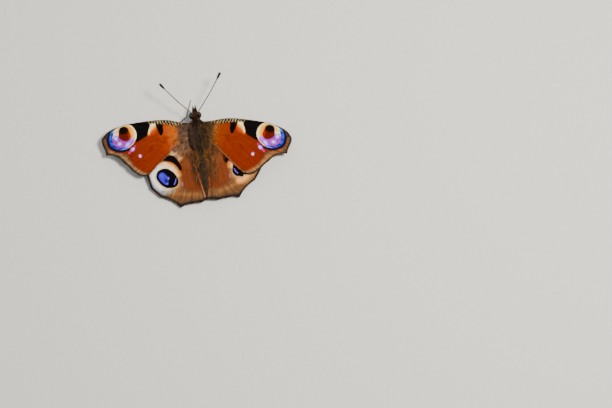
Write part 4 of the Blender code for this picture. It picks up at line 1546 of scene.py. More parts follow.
@dataclass
class Torso:
    """Head, thorax, abdomen and palps under one skin, inside the frame's solids by the coat's depth."""

    seat: Seat
    thorax: tuple[Point3, Point3] = ((0.0, -3.7, 4.45), (0.0, 5.1, 4.2))
    thorax_half: Point2 = (2.15, 2.0)
    thorax_bluntness: float = 3.4
    head_centre: Point3 = (0.0, -4.95, 4.5)
    head_half: Point3 = (1.02, 1.1, 1.12)
    neck_centre: Point3 = (0.0, -4.1, 4.4)
    neck_half: Point3 = (0.75, 0.9, 0.8)
    abdomen: tuple[Point3, Point3] = ((0.0, 3.4, 4.3), (0.0, 17.95, 2.9))
    abdomen_half: Point2 = (1.58, 1.5)
    abdomen_rings: int = 8
    palp: tuple[Point3, Point3] = ((0.47, -5.4, 3.9), (0.33, -8.2, 4.95))
    palp_half: Point2 = (0.45, 0.47)
    voxel: float = 0.13
    tones: BodyTones = BodyTones()
    thorax_strand: Strand = Strand((0.8, 1.4), 0.075, (14, 40), 6, 0.16)
    mantle_strand: Strand = Strand((1.3, 2.5), 0.065, (20, 46), 10, 0.14, lock=0.6, mottle=0.4)
    abdomen_strand: Strand = Strand((0.5, 0.9), 0.06, (8, 26), 3, 0.12)
    tuft_strand: Strand = Strand((1.2, 2.6), 0.065, (10, 26), 4, 0.1, lock=0.4, mottle=0.3)
    crown_strand: Strand = Strand((0.35, 0.65), 0.05, (14, 44), 20, 0.25, lock=0.25)
    face_strand: Strand = Strand((0.25, 0.45), 0.045, (15, 40), 10, 0.18, lock=0.25)
    palp_strand: Strand = Strand((0.24, 0.4), 0.045, (6, 20), 4, 0.12, lock=0.2)

    THORAX_ROOTS = 20000
    MANTLE_ROOTS = 46000
    ABDOMEN_ROOTS = 23000
    HEAD_ROOTS = 60000
    GOLDEN_HAIR = tone(150, 110, 58)
    MANTLE_LEFT = tone(98, 70, 56)
    MANTLE_RIGHT = tone(84, 60, 24)
    MANTLE_GOLDEN = tone(98, 63, 30)
    MANTLE_DARK = tone(44, 32, 24)
    ABDOMEN_SIDE = tone(96, 58, 28)
    TUFT_GOLDEN = tone(176, 116, 50)
    TUFT_DARK = tone(58, 38, 20)

    def thorax_swell(self, share: float) -> float:
        """Width of the thorax, blunt at both ends."""
        return max(0.0, 1.0 - abs(2.0 * share - 1.0) ** self.thorax_bluntness) ** 0.5

    def abdomen_swell(self, share: float) -> float:
        """Width of the abdomen, with a groove between its rings.

        Args:
            share: From 0 at its front end to 1 at its rear end.

        Returns:
            The share of the greatest width.
        """
        full = (1.0 - (1.0 - min(share / 0.3, 1.0)) ** 2) ** 0.5
        taper = 1.0 - 0.78 * max(0.0, (share - 0.3) / 0.7) ** 1.5
        end = min(1.0, (1.0 - share) / 0.06) ** 0.5
        groove = 1.0 - 0.07 * abs(cos(pi * self.abdomen_rings * share)) ** 6
        return full * taper * end * groove

    def palp_swell(self, share: float) -> float:
        """Width of a palp, widest near its root."""
        return sin(pi * share ** 0.7) ** 0.4 * (1.2 - 0.6 * share)

    def build(self) -> Object:
        """Draw the parts, melt them into one skin and write its colours.

        Returns:
            The skin.
        """
        bm = bmesh.new()
        spindle(bm, *self.thorax, *self.thorax_half, self.thorax_swell, 40, 48)
        spindle(bm, *self.abdomen, *self.abdomen_half, self.abdomen_swell, 36, 110)
        ball(bm, self.head_centre, self.head_half)
        ball(bm, self.neck_centre, self.neck_half)
        for side in Side:
            root, tip = (mirrored(end, side) for end in self.palp)
            spindle(bm, root, tip, *self.palp_half, self.palp_swell, 16, 24)
        skin = finished(bm, "body_skin", self.seat)
        melt = skin.modifiers.new("one_skin", "REMESH")
        melt.mode = "VOXEL"
        melt.voxel_size = self.voxel * MM
        soften = skin.modifiers.new("soften", "SMOOTH")
        soften.iterations = 3
        evaluated = skin.evaluated_get(bpy.context.evaluated_depsgraph_get())
        mesh = bpy.data.meshes.new_from_object(evaluated)
        bpy.data.objects.remove(skin, do_unlink=True)
        mesh.name = "body_skin"
        mesh.materials.clear()
        mesh.materials.append(SkinFinish.material())
        skin = new_object("body_skin", mesh)
        points = self.own_points(mesh)
        write_vectors(mesh, "coat_colour", self.tones.at(points))
        write_bake_map(mesh, BodyMap.places(points))
        nodes = ["head", "thorax", "abdomen"] + ["palp_" + side.word for side in Side]
        return settle(skin, nodes)

    def own_points(self, mesh: Mesh) -> Array:
        """The vertices of a mesh of the frame in the animal's own axes.

        Args:
            mesh: The mesh.

        Returns:
            One point in millimetres for each vertex.
        """
        points = np.empty(len(mesh.vertices) * 3, np.float32)
        mesh.vertices.foreach_get("co", points)
        return (points.reshape(-1, 3) - np.array(self.seat.shift)) / MM

    def roots(self, skin: Object, count: int, coat: Coat,
              where: Callable[[Array, Array, Array], Array]) -> tuple[Array, Array]:
        """Scatter roots over the skin where a density allows them.

        Args:
            skin: The body's skin.
            count: How many candidates are drawn.
            coat: The coat, whose stream of chance is used.
            where: The share of candidates that stay at each X, Y and Z.

        Returns:
            The roots and the skin's outward direction at each.
        """
        mesh = skin.data
        mesh.calc_loop_triangles()
        corners = np.empty(len(mesh.loop_triangles) * 3, np.int32)
        mesh.loop_triangles.foreach_get("vertices", corners)
        a, b, c = self.own_points(mesh)[corners.reshape(-1, 3)].transpose(1, 0, 2)
        normal = np.cross(b - a, c - a)
        area = np.linalg.norm(normal, axis=1)
        chosen = coat.chance.choice(len(area), count, p=area / area.sum())
        u, v = coat.chance.uniform(size=(2, count, 1))
        over = (u + v) > 1
        u, v = np.where(over, 1 - u, u), np.where(over, 1 - v, v)
        points = a[chosen] + (b - a)[chosen] * u + (c - a)[chosen] * v
        keep = coat.chance.uniform(size=count) < where(*points.T)
        return points[keep], unit(normal[chosen])[keep]

    def dress(self, skin: Object, finish: Material) -> None:
        """Grow the coat in four pieces.

        Args:
            skin: The body's skin.
            finish: The coat's material.
        """
        pieces = ((11, "thorax_hair", self.grow_thorax), (14, "thorax_mantle", self.grow_mantle),
                  (12, "abdomen_hair", self.grow_abdomen), (13, "head_hair", self.grow_head))
        for seed, name, grow in pieces:
            coat = Coat(seed)
            grow(skin, coat)
            coat.piece(name, self.seat, Slot.FUR, finish)

    def hair_tones(self, roots: Array, coat: Coat, gold: float) -> Array:
        """Each hair's colour: the skin's own, or golden for some of them.

        Args:
            roots: Where each hair starts.
            coat: The coat, whose stream of chance is used.
            gold: The share of golden hairs.

        Returns:
            One colour for each hair.
        """
        colours = self.tones.at(roots) * 1.25
        golden = coat.chance.uniform(size=len(roots)) < gold
        colours[golden] = colours[golden] * 0.3 + np.array(self.GOLDEN_HAIR) * 0.7
        return colours

    def grow_thorax(self, skin: Object, coat: Coat) -> None:
        """Dense hair that lies rearwards and stands up at the collar.

        Args:
            skin: The body's skin.
            coat: The coat that it is added to.
        """
        roots, normals = self.roots(skin, self.THORAX_ROOTS, coat, lambda x, y, z: (
            ease(y, -4.4, -3.4) * fade(y, 4.6, 6.0)))
        x, y, _ = roots.T
        lies = np.stack((x * 0.25, 1.0 - 0.5 * fade(y, -3.6, -2.4), np.zeros(len(x))), 1)
        coat.grow(roots, normals, lies, self.thorax_strand, self.hair_tones(roots, coat, 0.1),
                  BodyMap.places(roots), 0.8 + 0.5 * ease(y, 1.0, 4.5), 18.0 * fade(y, -3.2, -2.2))

    def grow_mantle(self, skin: Object, coat: Coat) -> None:
        """Long hair that fans out over the wings, mauve brown on the left and olive brown on the right.

        Args:
            skin: The body's skin.
            coat: The coat that it is added to.
        """
        roots, normals = self.roots(skin, self.MANTLE_ROOTS, coat, lambda x, y, z: (
            ease(np.abs(x), 0.8, 1.5) * ease(z, 4.0, 4.8) * ease(y, -3.1, -1.9) * fade(y, 4.6, 6.4)))
        x, y, z = roots.T
        outward = np.sign(x) * (0.75 - 0.4 * ease(y, 0.0, 5.0))
        lies = np.stack((outward, np.full(len(x), 0.9), np.full(len(x), -0.1)), 1)
        chance = coat.chance.uniform(size=(len(x), 2))
        colours = np.where(x[:, None] > 0, self.MANTLE_LEFT, self.MANTLE_RIGHT)
        colours += (np.array(self.MANTLE_GOLDEN) - colours) * ease(y, -0.5, 3.5)[:, None] * chance[:, :1]
        colours[chance[:, 1] < np.where(x > 0, 0.5, 0.6)] = self.MANTLE_DARK
        coat.grow(roots, normals, lies, self.mantle_strand, colours, BodyMap.places(roots),
                  lifts=16.0 * ease(z, 5.6, 4.4))

    def grow_abdomen(self, skin: Object, coat: Coat) -> None:
        """Shorter hair along the abdomen, that stands out more on its sides, where longer tufts hang.

        Args:
            skin: The body's skin.
            coat: The coat that it is added to.
        """
        roots, normals = self.roots(skin, self.ABDOMEN_ROOTS, coat, lambda x, y, z: ease(y, 4.2, 5.4))
        x, y, z = roots.T
        lies = np.stack((x * 0.12, np.ones(len(x)), np.zeros(len(x))), 1)
        sideways = ease(np.abs(normals[:, 0]), 0.5, 0.95)
        lengths = (1.7 - 0.7 * ease(y, 5.0, 9.0)) * (1.0 + 0.5 * sideways)
        colours = self.hair_tones(roots, coat, 0.12)
        colours += (np.array(self.ABDOMEN_SIDE) - colours) * (0.6 * sideways * ease(z, 2.6, 4.0))[:, None]
        coat.grow(roots, normals, lies, self.abdomen_strand, colours, BodyMap.places(roots), lengths,
                  14.0 * sideways)
        share = 0.9 * ease(np.abs(normals[:, 0]), 0.4, 0.8) * ease(z, 3.6, 4.6) * fade(y, 7.0, 11.0)
        beside = coat.chance.uniform(size=len(x)) < share
        locks = np.sin(y[beside] * 5.0) + np.sin(y[beside] * 11.0 + 2.0 * np.sign(x[beside]))
        pale = ease(locks + coat.chance.normal(0.0, 0.5, len(locks)), -0.5, 0.9)[:, None]
        golden, dark = np.array((self.TUFT_GOLDEN, self.TUFT_DARK))
        roots, normals = roots[beside], normals[beside]
        coat.grow(roots, normals, lies[beside] + normals * (0.2, 0.0, 0.0), self.tuft_strand,
                  dark + (golden - dark) * pale, BodyMap.places(roots))

    def grow_head(self, skin: Object, coat: Coat) -> None:
        """Short hair on the face, a low tuft on the crown, and brushes of hair on the palps.

        Args:
            skin: The body's skin.
            coat: The coat that it is added to.
        """
        roots, normals = self.roots(skin, self.HEAD_ROOTS, coat, lambda x, y, z: fade(y, -4.0, -3.6))
        palps = roots[:, 1] < -6.0
        crown = ~palps & (roots[:, 2] > 4.9)
        for chosen, strand, pull in ((crown, self.crown_strand, (0.0, -0.9, 0.3)),
                                     (~palps & ~crown, self.face_strand, (0.0, -0.7, -0.5)),
                                     (palps, self.palp_strand, (0.0, -1.0, 0.45))):
            at = roots[chosen]
            lies = np.tile(np.array(pull), (len(at), 1))
            coat.grow(at, normals[chosen], lies, strand, self.hair_tones(at, coat, 0.06), BodyMap.places(at))


# ---- hair on the wings


@dataclass
class WingHair:
    """Long hair over a wing's base, and the fringe of scales along its edge."""

    wing: Wing
    fringe_step: float = 0.055
    upper_strand: Strand = Strand((0.9, 1.8), 0.06, (6, 22), 3, 0.12, lock=0.6, mottle=0.4)
    lower_strand: Strand = Strand((0.7, 1.3), 0.055, (6, 20), 3, 0.12)
    fringe: Strand = Strand((0.3, 0.42), 0.1, (0, 6), 0, 0.08, 0.25)
    inner_fringe: Strand = Strand((0.35, 0.85), 0.07, (-10, 8), -14, 0.2, 0.25)

    UPPER_ROOTS = 28500
    LOWER_ROOTS = 7000
    INNER_ROOTS = 600
    LAYERS = (-0.03, 0.03)
    LOWER_SHADE = 0.35
    PALE = tone(192, 132, 70)
    FRINGE_DARK = tone(30, 23, 20)
    FRINGE_PALE = tone(104, 82, 62)

    @property
    def rearward(self) -> Array:
        """How much the long hair turns from the wing's rays towards the rear."""
        return np.array((0.0, 0.1 if self.wing.plan.slot is Slot.FOREWING else 0.7))

    def tones(self, places: Array, column: Array, chance: np.random.Generator) -> Array:
        """Colours of the long hair: golden and cinnamon, darker towards the body, in streaks.

        Args:
            places: Each root's place in the wing's plane.
            column: From 0 at the front edge to 1 at the inner edge.
            chance: The coat's stream of chance.

        Returns:
            One colour for each hair.
        """
        fore, left = self.wing.plan.slot is Slot.FOREWING, self.wing.side is Side.LEFT
        inner = (tone(106, 80, 64) if left else tone(104, 76, 44)) if fore else tone(98, 60, 30)
        outer = np.array(tone(170, 92, 26) if fore else tone(130, 68, 30))
        near = fade(places[:, 0], 2.2, 4.2 if fore and left else 3.4)
        colours = outer + (np.array(inner) - outer) * near[:, None]
        if not fore:
            colours += (np.array(tone(122, 90, 70)) - colours) * fade(places[:, 1], 1.0, 3.4)[:, None]
        streak = np.sin(column * 70.0) * 0.5 + np.sin(column * 173.0 + 1.0) * 0.5
        depth, dark_near = (0.2, 0.36) if fore else (0.3, 0.12)
        dark = chance.uniform(size=len(places)) < 0.2 + depth * streak + dark_near * near
        pale_share = (0.22 - depth * streak) * (1 - 0.7 * near * fore)
        pale = ~dark & (chance.uniform(size=len(places)) < pale_share)
        colours[dark] *= 0.35
        colours[pale] = colours[pale] * 0.4 + np.array(self.PALE) * 0.6
        # Hairs along a hindwing's inner edge are paler: partly golden hair, partly a painted highlight along
        # the edge.
        if not fore:
            edge = ease(column, 0.955, 0.985)[:, None] * (chance.uniform(size=(len(places), 1)) < 0.7)
            colours += (np.array(tone(204, 142, 92)) - colours) * edge
        return colours

    def density(self, places: Array) -> Array:
        """How thickly the long hair stands at each place of the wing.

        Args:
            places: Places in the wing's plane.

        Returns:
            One share for each, from 0 to 1.
        """
        x, y = places.T
        if self.wing.plan.slot is Slot.FOREWING:
            behind_strip = np.maximum(ease(y + 0.35 * x, -0.2, 0.7), fade(x, -0.2, 0.9))
            at_rear = (self.wing.side is Side.LEFT) * fade(x, 3.4, 6.0) * ease(y - 0.7 * x, -0.6, 0.8)
            base = np.maximum(fade(x - 0.15 * y, 1.8, 4.2), at_rear)
            return base * behind_strip * ease(y + 0.23 * x, -0.5, 0.1)
        base = fade(np.hypot(x, (y - 1.0) * 0.8), 2.2, 4.6)
        beside_body = fade(x + 0.06 * y, 0.8, 3.4) * fade(y, 5.0, 15.0) * 0.6
        before_haze = fade(x, 3.6, 6.4) * fade(y, 1.4, 3.6)
        return np.maximum(np.maximum(base, beside_body), before_haze)

    def build(self, seed: int, finish: Material) -> Object:
        """Grow the hair of both faces and the fringe as one piece.

        Args:
            seed: The seed of the coat's chance.
            finish: The coat's material.

        Returns:
            The piece.
        """
        coat = Coat(seed)
        surface = WingSurface(self.wing.plan, self.wing.side)
        for face, candidates, strand in ((Face.UPPER, self.UPPER_ROOTS, self.upper_strand),
                                         (Face.LOWER, self.LOWER_ROOTS, self.lower_strand)):
            column = coat.chance.uniform(0.0, 1.0, candidates)
            share = coat.chance.uniform(0.0, 1.0, candidates) ** 0.6
            places, sink = surface.flat(column, share * 0.98)
            kept = coat.chance.uniform(size=candidates) < self.density(places)
            column, share, places, sink = column[kept], share[kept] * 0.98, places[kept], sink[kept]
            onward, _ = surface.flat(column, share + 0.01)
            onward = unit(onward - places) + self.rearward
            sign, shade = (1.0, 1.0) if face is Face.UPPER else (-1.0, self.LOWER_SHADE)
            height = surface.rise(places, sink, share) + sign * self.wing.plan.sheet / 2
            normals = np.tile(surface.upward * sign, (len(places), 1))
            coat.grow(surface.points(places, height), normals, surface.direction(onward), strand,
                      self.tones(places, column, coat.chance) * shade,
                      self.wing.map_places(places, face.value))
        self.grow_fringe(coat, surface)
        return coat.piece(self.wing.name + "_hair", self.wing.seat, self.wing.plan.slot, finish)

    def grow_fringe(self, coat: Coat, surface: WingSurface) -> None:
        """Set a fringe of short flat scales along the edge, and of hair along a forewing's inner edge.

        Args:
            coat: The coat that it belongs to.
            surface: The wing's surface.
        """
        fine = np.linspace(0.0, 1.0, 4000)
        line = surface.margin(fine)[0]
        run = np.r_[0.0, np.cumsum(np.linalg.norm(np.diff(line, axis=0), axis=1))]
        column = np.interp(np.arange(0.0, run[-1], self.fringe_step), run, fine)
        edge = surface.margin(column)[0]
        share = 1.0 - (self.wing.margin_for_fringe + 0.05) / np.linalg.norm(edge, axis=1)
        places, sink = surface.flat(column, share)
        spans = len(surface.ends)
        from_vein = np.abs(column * spans - np.round(column * spans))
        pale = ease(from_vein, 0.2, 0.32)[:, None]
        dark_tone, pale_tone = np.array((self.FRINGE_DARK, self.FRINGE_PALE))
        colours = dark_tone + (pale_tone - dark_tone) * pale * 0.5
        self.set_fringe(coat, surface, (places, sink, share), edge - places, self.fringe, colours)
        if self.wing.plan.slot is Slot.FOREWING:
            right = self.wing.side is Side.RIGHT
            first, warm = (0.12, tone(158, 92, 52)) if right else (0.5, tone(140, 70, 34))
            share = coat.chance.uniform(first, 0.97, self.INNER_ROOTS)
            inside = surface.flat(np.full(len(share), 0.98), share)[0]
            places, sink = surface.flat(np.ones(len(share)), share)
            self.set_fringe(coat, surface, (places, sink, share), places - inside, self.inner_fringe,
                            np.tile(np.array(warm), (len(share), 1)))

    def set_fringe(self, coat: Coat, surface: WingSurface, at: tuple[Array, Array, Array], outward: Array,
                   strand: Strand, colours: Array) -> None:
        """Set one line of fringe in two layers, just under and just over the wing's middle.

        Args:
            coat: The coat that it belongs to.
            surface: The wing's surface.
            at: The places of its roots, and the sink and share of each.
            outward: The direction of each in the wing's plane.
            strand: The make of its hairs.
            colours: The colour of each.
        """
        places, sink, share = at
        normals = np.tile(surface.upward, (len(places), 1))
        for lift in self.LAYERS:
            roots = surface.points(places, surface.rise(places, sink, share) + lift)
            coat.grow(roots, normals, surface.direction(outward), strand, colours,
                      self.wing.map_places(places, Face.UPPER.value))


# ---- head parts


@dataclass(frozen=True)
class Eyes:
    """Two large compound eyes, sunk in the sides of the head."""

    seat: Seat
    centre: Point3 = (1.22, -5.15, 4.72)
    half: Point3 = (0.7, 0.96, 1.1)
    finish: Gloss = Gloss(roughness=0.36, specular=0.22, coat=0.06)

    def material(self) -> Material:
        """Dark brown facets under a gloss.

        Returns:
            The material.
        """
        board = Board("eye_facets")
        where = board.here()
        facets = board.node("ShaderNodeTexVoronoi", {"Vector": where, "Scale": 26000.0}).outputs["Distance"]
        colour = board.clouded(where, 1400.0, tone(20, 12, 9), tone(36, 23, 16), 0.35)
        colour = board.mix(board.step(facets, 0.3, 0.7, 0.0, 0.6), colour, tone(8, 6, 6))
        board.to_shader("Base Color", colour)
        board.bump(facets, 0.3, 0.00002)
        self.finish.set_on(board)
        return board.material

    def build(self) -> None:
        """Make both eyes."""
        finish = self.material()
        for side in Side:
            bm = bmesh.new()
            ball(bm, mirrored(self.centre, side), self.half, 48, 32)
            eye = finished(bm, "compound_eye_" + side.word, self.seat)
            eye.data.materials.append(finish)
            settle(eye, ["eye_" + side.word])


@dataclass(frozen=True)
class Antennae:
    """Two ringed shafts that end in a club with a pale tip."""

    seat: Seat
    root: Point3 = (0.62, -5.45, 5.45)
    tips: tuple[Point3, Point3] = ((9.2, -15.2, 9.9), (-9.5, -16.25, 8.9))
    bow: float = 0.35
    shaft: float = 0.16
    club: float = 0.4
    club_start: float = 0.82
    rings: int = 110

    def material(self, length: float) -> Material:
        """Brown shaft ringed with white, black club, pale tip.

        Args:
            length: The length of the whole antenna.

        Returns:
            The material.
        """
        board = Board("antenna_rings")
        run = board.number("run")
        wave = board.waves(run, 0.34)
        shaft = board.step(run, length * 0.78, length * 0.82, 1.0, 0.0)
        pale = board.math("MULTIPLY", board.step(wave, 0.6, 0.95), shaft)
        colour = board.clouded(board.here(), 3000.0, tone(26, 18, 12), tone(54, 38, 24))
        colour = board.mix(pale, colour, tone(150, 134, 108))
        colour = board.mix(board.step(run, length * 0.8, length * 0.84), colour, tone(9, 7, 7))
        colour = board.mix(board.step(run, length * 0.978, length * 0.99), colour, tone(216, 184, 128))
        board.to_shader("Base Color", colour)
        board.bump(wave, 0.3, 0.00003)
        Gloss(roughness=0.5, specular=0.35).set_on(board)
        return board.material

    def build(self) -> None:
        """Draw both antennae, root first."""
        for side, tip in zip(Side, self.tips):
            root = mirrored(self.root, side)
            tip = Vector(tip)
            sideways = Vector((side.value, 0.0, 0.0))
            path, radii = [], []
            for index in range(self.rings + 1):
                share = index / self.rings
                path.append(root.lerp(tip, share) + sideways * (self.bow * sin(pi * share)))
                swell = max(0.0, (share - self.club_start) / (1.0 - self.club_start))
                radii.append(self.shaft + (self.club - self.shaft) * sin(pi * 0.84 * swell) ** 0.8)
            radii[-1] *= 0.35
            bm = bmesh.new()
            sweep(bm, path, radii, 12)
            feeler = finished(bm, "feeler_" + side.word, self.seat)
            feeler.data.materials.append(self.material((tip - root).length))
            settle(feeler, ["antenna_" + side.word])


@dataclass(frozen=True)
class Tongue:
    """The tongue, coiled like a watch spring under the head."""

    seat: Seat
    centre: Point3 = (0.0, -6.35, 2.35)
    outer: float = 1.0
    inner: float = 0.2
    turns: float = 2.6
    radius: float = 0.13
    steps: int = 120

    def build(self) -> Object:
        """Draw the coil from the mouth inwards.

        Returns:
            The piece.
        """
        path, radii = [], []
        for index in range(self.steps + 1):
            share = index / self.steps
            angle = pi / 2 + 2 * pi * self.turns * share
            radius = self.outer + (self.inner - self.outer) * share ** 0.85
            path.append(Vector(self.centre) + Vector((0.0, radius * cos(angle), radius * sin(angle))))
            radii.append(self.radius * (1.0 - 0.45 * share))
        bm = bmesh.new()
        sweep(bm, path, radii, 12)
        tongue = finished(bm, "coiled_tongue", self.seat)
        board = Board("tongue_rings")
        colour = board.clouded(board.here(), 2500.0, tone(58, 30, 16), tone(104, 62, 34))
        board.to_shader("Base Color", colour)
        board.bump(board.waves(board.number("run"), 0.12), 0.35, 0.00003)
        Gloss(roughness=0.38, specular=0.45).set_on(board)
        tongue.data.materials.append(board.material)
        return settle(tongue, ["proboscis"])


# ---- legs


@dataclass(frozen=True)
class LegPlan:
    """One leg: hip, knee, ankle and toe, and whether it is folded up under the chest."""

    name: str
    joints: tuple[Point3, Point3, Point3, Point3]
    folded: bool = False


FORELEG = ((0.8, -2.2, 2.5), (1.25, -4.1, 1.3), (0.95, -5.15, 2.0), (0.85, -5.0, 2.9))
LEGS = (
    *(LegPlan(f"foreleg_{side.word}", tuple((x * side.value, y, z) for x, y, z in FORELEG), True)
      for side in Side),
    LegPlan("midleg_left", ((1.2, -0.6, 2.3), (5.3, -3.6, 3.7), (2.75, -6.35, 0.6), (0.85, -11.4, 0.14))),
    LegPlan("midleg_right", ((-1.2, -0.6, 2.3), (-5.6, -1.5, 3.8), (-8.5, -2.7, 0.55), (-13.2, -1.6, 0.14))),
    LegPlan("hindleg_left", ((1.2, 2.4, 2.3), (5.4, 6.0, 2.75), (7.5, 10.3, 0.5), (9.3, 14.9, 0.14))),
    LegPlan("hindleg_right", ((-1.2, 2.4, 2.3), (-5.6, 5.8, 2.75), (-7.9, 10.0, 0.5), (-9.2, 14.8, 0.14))),
)


@dataclass
class Legs:
    """Six jointed legs with spurs, five-part feet, claws and bristles."""

    seat: Seat
    femur: float = 0.3
    knee: float = 0.19
    shin: float = 0.17
    foot: float = 0.115

    FOOT_JOINTS = (0.0, 0.42, 0.6, 0.75, 0.88, 1.0)
    FOOT_PART = ((0.0, 0.6), (0.12, 0.85), (0.5, 0.9), (0.86, 1.1), (1.0, 0.7))
    LIMB_BRISTLES_PER_MM = 80
    FOOT_BRISTLES_PER_MM = 50
    BRISTLE_FLOOR = 0.12
    BRISTLE = tone(56, 41, 29)

    def material(self) -> Material:
        """Satin brown, darker in patches.

        Returns:
            The material.
        """
        board = Board("leg_shell")
        where = board.here()
        grain = board.noise(where, 16000.0, 2.0)
        colour = board.clouded(where, 900.0, tone(24, 17, 13), tone(52, 38, 28), detail=4.0)
        colour = board.mix(board.step(grain, 0.5, 0.75, 0.0, 0.4), colour, tone(96, 76, 54))
        board.to_shader("Base Color", colour)
        board.bump(grain, 0.4, 0.00002)
        Gloss(roughness=0.45, specular=0.4).set_on(board)
        return board.material

    def bones(self, plan: LegPlan) -> list[Rod]:
        """The path and radii of each joint's rod: thigh, shin, and the five parts of the foot.

        Args:
            plan: The leg.

        Returns:
            The path and the radii of each rod.
        """
        hip, knee, ankle, toe = (Vector(joint) for joint in plan.joints)
        steps = [index / 8 for index in range(9)]
        inward = (hip - Vector((0.0, hip.y, hip.z + 0.6))) * 0.45
        thigh = [self.femur * (1 - share) + self.knee * share + 0.05 * sin(pi * share) for share in steps]
        shin = [self.knee * (1 - share) + self.shin * 0.8 * share + 0.02 * sin(pi * share)
                for share in steps]
        rods = [([hip - inward] + [hip.lerp(knee, share) for share in steps], [self.femur * 0.9] + thigh),
                ([knee.lerp(ankle, share) for share in steps], shin)]
        for first, last in zip(self.FOOT_JOINTS, self.FOOT_JOINTS[1:]):
            start, end = ankle.lerp(toe, first), ankle.lerp(toe, last)
            rods.append(([start.lerp(end, share) for share, _ in self.FOOT_PART],
                         [self.foot * factor for _, factor in self.FOOT_PART]))
        return rods

    def claws(self, plan: LegPlan) -> list[Rod]:
        """Two hooked claws at the toe and two spurs at the ankle.

        Args:
            plan: The leg.

        Returns:
            The path and the radii of each rod.
        """
        _, knee, ankle, toe = (Vector(joint) for joint in plan.joints)
        onward = (toe - ankle).normalized()
        aside = onward.cross(Vector((0, 0, 1))).normalized()
        down = aside.cross(onward)
        rods = []
        for sign in (-1, 1):
            hook = [toe + onward * 0.02, toe + onward * 0.16 + aside * sign * 0.09 - down * 0.02,
                    toe + onward * 0.27 + aside * sign * 0.13 + Vector((0, 0, -0.06))]
            rods.append((hook, [0.05, 0.04, 0.012]))
            spur = [ankle, ankle + onward * 0.2 + aside * sign * 0.12,
                    ankle + onward * 0.42 + aside * sign * 0.17]
            rods.append((spur, [0.05, 0.035, 0.01]))
        return rods

    def build(self, hair_finish: Material) -> None:
        """Make every leg, and the bristles of all of them as one piece.

        Args:
            hair_finish: The bristles' material.
        """
        finish = self.material()
        coat = Coat(21)
        for plan in LEGS:
            bm = bmesh.new()
            bones = self.bones(plan)
            for path, radii in bones:
                sweep(bm, path, radii, 12)
            for path, radii in self.claws(plan):
                sweep(bm, path, radii, 6)
            leg = finished(bm, "jointed_" + plan.name, self.seat)
            leg.data.materials.append(finish)
            settle(leg, [plan.name])
            self.grow_bristles(coat, bones, plan.folded)
        coat.piece("leg_bristles", self.seat, Slot.LEG, hair_finish)

    def grow_bristles(self, coat: Coat, bones: list[Rod], folded: bool) -> None:
        """Set bristles along each rod of a leg, long ones on a folded leg.

        Args:
            coat: The coat that they belong to.
            bones: The path and radii of each rod.
            folded: Whether the leg is folded up under the chest.
        """
        for index, (path, radii) in enumerate(bones):
            knots = np.array(path)
            way = knots[-1] - knots[0]
            per_mm = self.LIMB_BRISTLES_PER_MM if index < 2 else self.FOOT_BRISTLES_PER_MM
            count = int(np.linalg.norm(way) * per_mm)
            share = coat.chance.uniform(0.03, 0.97, count)
            axis = unit(way)
            runs = np.linspace(0, 1, len(knots))
            middle = np.stack([np.interp(share, runs, knots[:, k]) for k in range(3)], 1)
            radius = np.interp(share, runs, radii)
            spin = coat.chance.uniform(0, 2 * pi, count)
            first = unit(np.cross(axis, np.array((0.0, 0.1, 1.0))))
            second = np.cross(axis, first)
            normals = first * np.cos(spin)[:, None] + second * np.sin(spin)[:, None]
            roots = middle + normals * radius[:, None]
            lies = np.tile(axis, (count, 1))
            length = (0.4, 0.8) if folded else (0.22, 0.5) if index == 0 else (0.14, 0.26)
            strand = Strand(length, 0.035, (14, 38), 8, 0.12)
            colours = np.tile(np.array(self.BRISTLE), (count, 1))
            keep = roots[:, 2] > self.BRISTLE_FLOOR
            places = np.stack((0.1 + 0.8 * share, np.full(count, 0.1 + 0.1 * index)), 1)
            coat.grow(roots[keep], normals[keep], lies[keep], strand, colours[keep], places[keep])


# ---- studio


@dataclass(frozen=True)
class Lamp:
    """A square soft light: where it hangs from the animal, in metres, and its power in watts."""

    name: str
    towards: Point3
    distance: float
    size: float
    power: float
    colour: Colour


LAMPS = (
    Lamp("key_light", (-0.446, 0.06, 0.897), 0.42, 0.09, 3.2, (1.0, 0.965, 0.91)),
    Lamp("fill_light", (0.55, -0.45, 0.7), 0.5, 0.4, 0.5, (0.93, 0.96, 1.0)),
    Lamp("face_light", (0.25, -0.93, 0.28), 0.5, 0.4, 1.2, (1.0, 0.98, 0.95)),
)


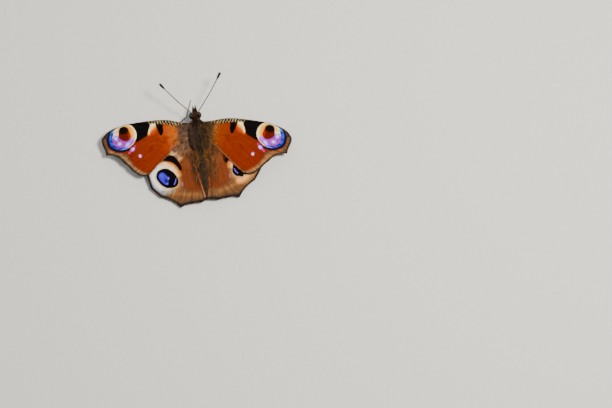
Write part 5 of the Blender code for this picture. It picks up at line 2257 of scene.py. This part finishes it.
@dataclass(frozen=True)
class Studio:
    """A plain pale floor, soft lights and the camera above the animal."""

    seat: Seat
    azimuth: float = 171.0
    elevation: float = 76.5
    depth: float = 510.0
    aim: Point3 = (0.0, 0.0, 5.5)
    view: Point2 = (612.0, 408.0)
    aim_in_view: Point2 = (197.5, 131.0)
    lens: float = 100.0
    sensor: float = 36.0
    floor_half: float = 1.5
    air_colour: tuple[float, float, float, float] = (0.9, 0.95, 1.0, 1.0)
    air_strength: float = 0.36

    def build(self) -> None:
        """Set the floor, the lights and the camera."""
        self.lay_floor()
        for lamp in LAMPS:
            self.hang_light(lamp)
        world = bpy.data.worlds.new("studio_air")
        world.use_nodes = True
        sky = world.node_tree.nodes["Background"]
        sky.inputs["Color"].default_value = self.air_colour
        sky.inputs["Strength"].default_value = self.air_strength
        bpy.context.scene.world = world
        self.place_camera()

    def lay_floor(self) -> None:
        """A wide pale sheet under the feet."""
        bm = bmesh.new()
        bmesh.ops.create_grid(bm, x_segments=1, y_segments=1, size=self.floor_half)
        mesh = bpy.data.meshes.new("studio_floor")
        bm.to_mesh(mesh)
        bm.free()
        floor = new_object("studio_floor", mesh)
        board = Board("floor_paper")
        paper = board.clouded(board.here(), 900.0, tone(206, 203, 196), tone(214, 211, 204), 0.2, 0.8)
        board.to_shader("Base Color", paper)
        Gloss(roughness=0.9, specular=0.1).set_on(board)
        floor.data.materials.append(board.material)

    def hang_light(self, lamp: Lamp) -> None:
        """Hang a light that faces the animal.

        Args:
            lamp: Where it hangs, its size, its power and its colour.
        """
        area = bpy.data.lights.new(lamp.name, "AREA")
        area.size = lamp.size
        area.energy = lamp.power
        area.color = lamp.colour
        light = bpy.data.objects.new(lamp.name, area)
        direction = Vector(lamp.towards).normalized()
        light.location = self.seat.point(self.aim) + direction * lamp.distance
        light.rotation_euler = direction.to_track_quat("Z", "Y").to_euler()
        bpy.context.scene.collection.objects.link(light)

    def place_camera(self) -> None:
        """Stand the camera so that the aim point falls on its own place in the view."""
        a, e = radians(self.azimuth), radians(self.elevation)
        back = Vector((sin(a) * cos(e), -cos(a) * cos(e), sin(e)))
        right = Vector((cos(a), sin(a), 0.0))
        up = back.cross(right)
        per_pixel = self.sensor / self.lens / self.view[0] * self.depth * MM
        aside = (self.aim_in_view[0] - self.view[0] / 2) * per_pixel
        above = (self.view[1] / 2 - self.aim_in_view[1]) * per_pixel
        data = bpy.data.cameras.new("camera")
        data.lens = self.lens
        data.sensor_width = self.sensor
        data.clip_start = 0.01
        data.dof.use_dof = False
        camera = bpy.data.objects.new("camera", data)
        place = self.seat.point(self.aim) - right * aside - up * above + back * self.depth * MM
        camera.matrix_world = Matrix.Translation(place) @ Matrix((right, up, back)).transposed().to_4x4()
        bpy.context.scene.collection.objects.link(camera)
        bpy.context.scene.camera = camera


# ---- assembly


def main() -> None:
    """Build the animal from the wings inwards, and its studio."""
    logging.basicConfig(level=logging.INFO, format="%(name)s %(message)s")
    seat = Seat.from_eyes(Eyes.centre)
    log.info("seat %s mm", [round(value / MM, 4) for value in seat.shift])
    Studio(seat).build()
    hair = HairFinish.material("coat_hair")
    seed = 31
    for plan in (FOREWINGS, HINDWINGS):
        for side in Side:
            wing = Wing(plan, side, seat)
            wing.build()
            WingHair(wing).build(seed, hair)
            seed += 1
    torso = Torso(seat)
    skin = torso.build()
    torso.dress(skin, hair)
    Eyes(seat).build()
    Antennae(seat).build()
    Tongue(seat).build()
    Legs(seat).build(hair)


if __name__ == "__main__":
    main()
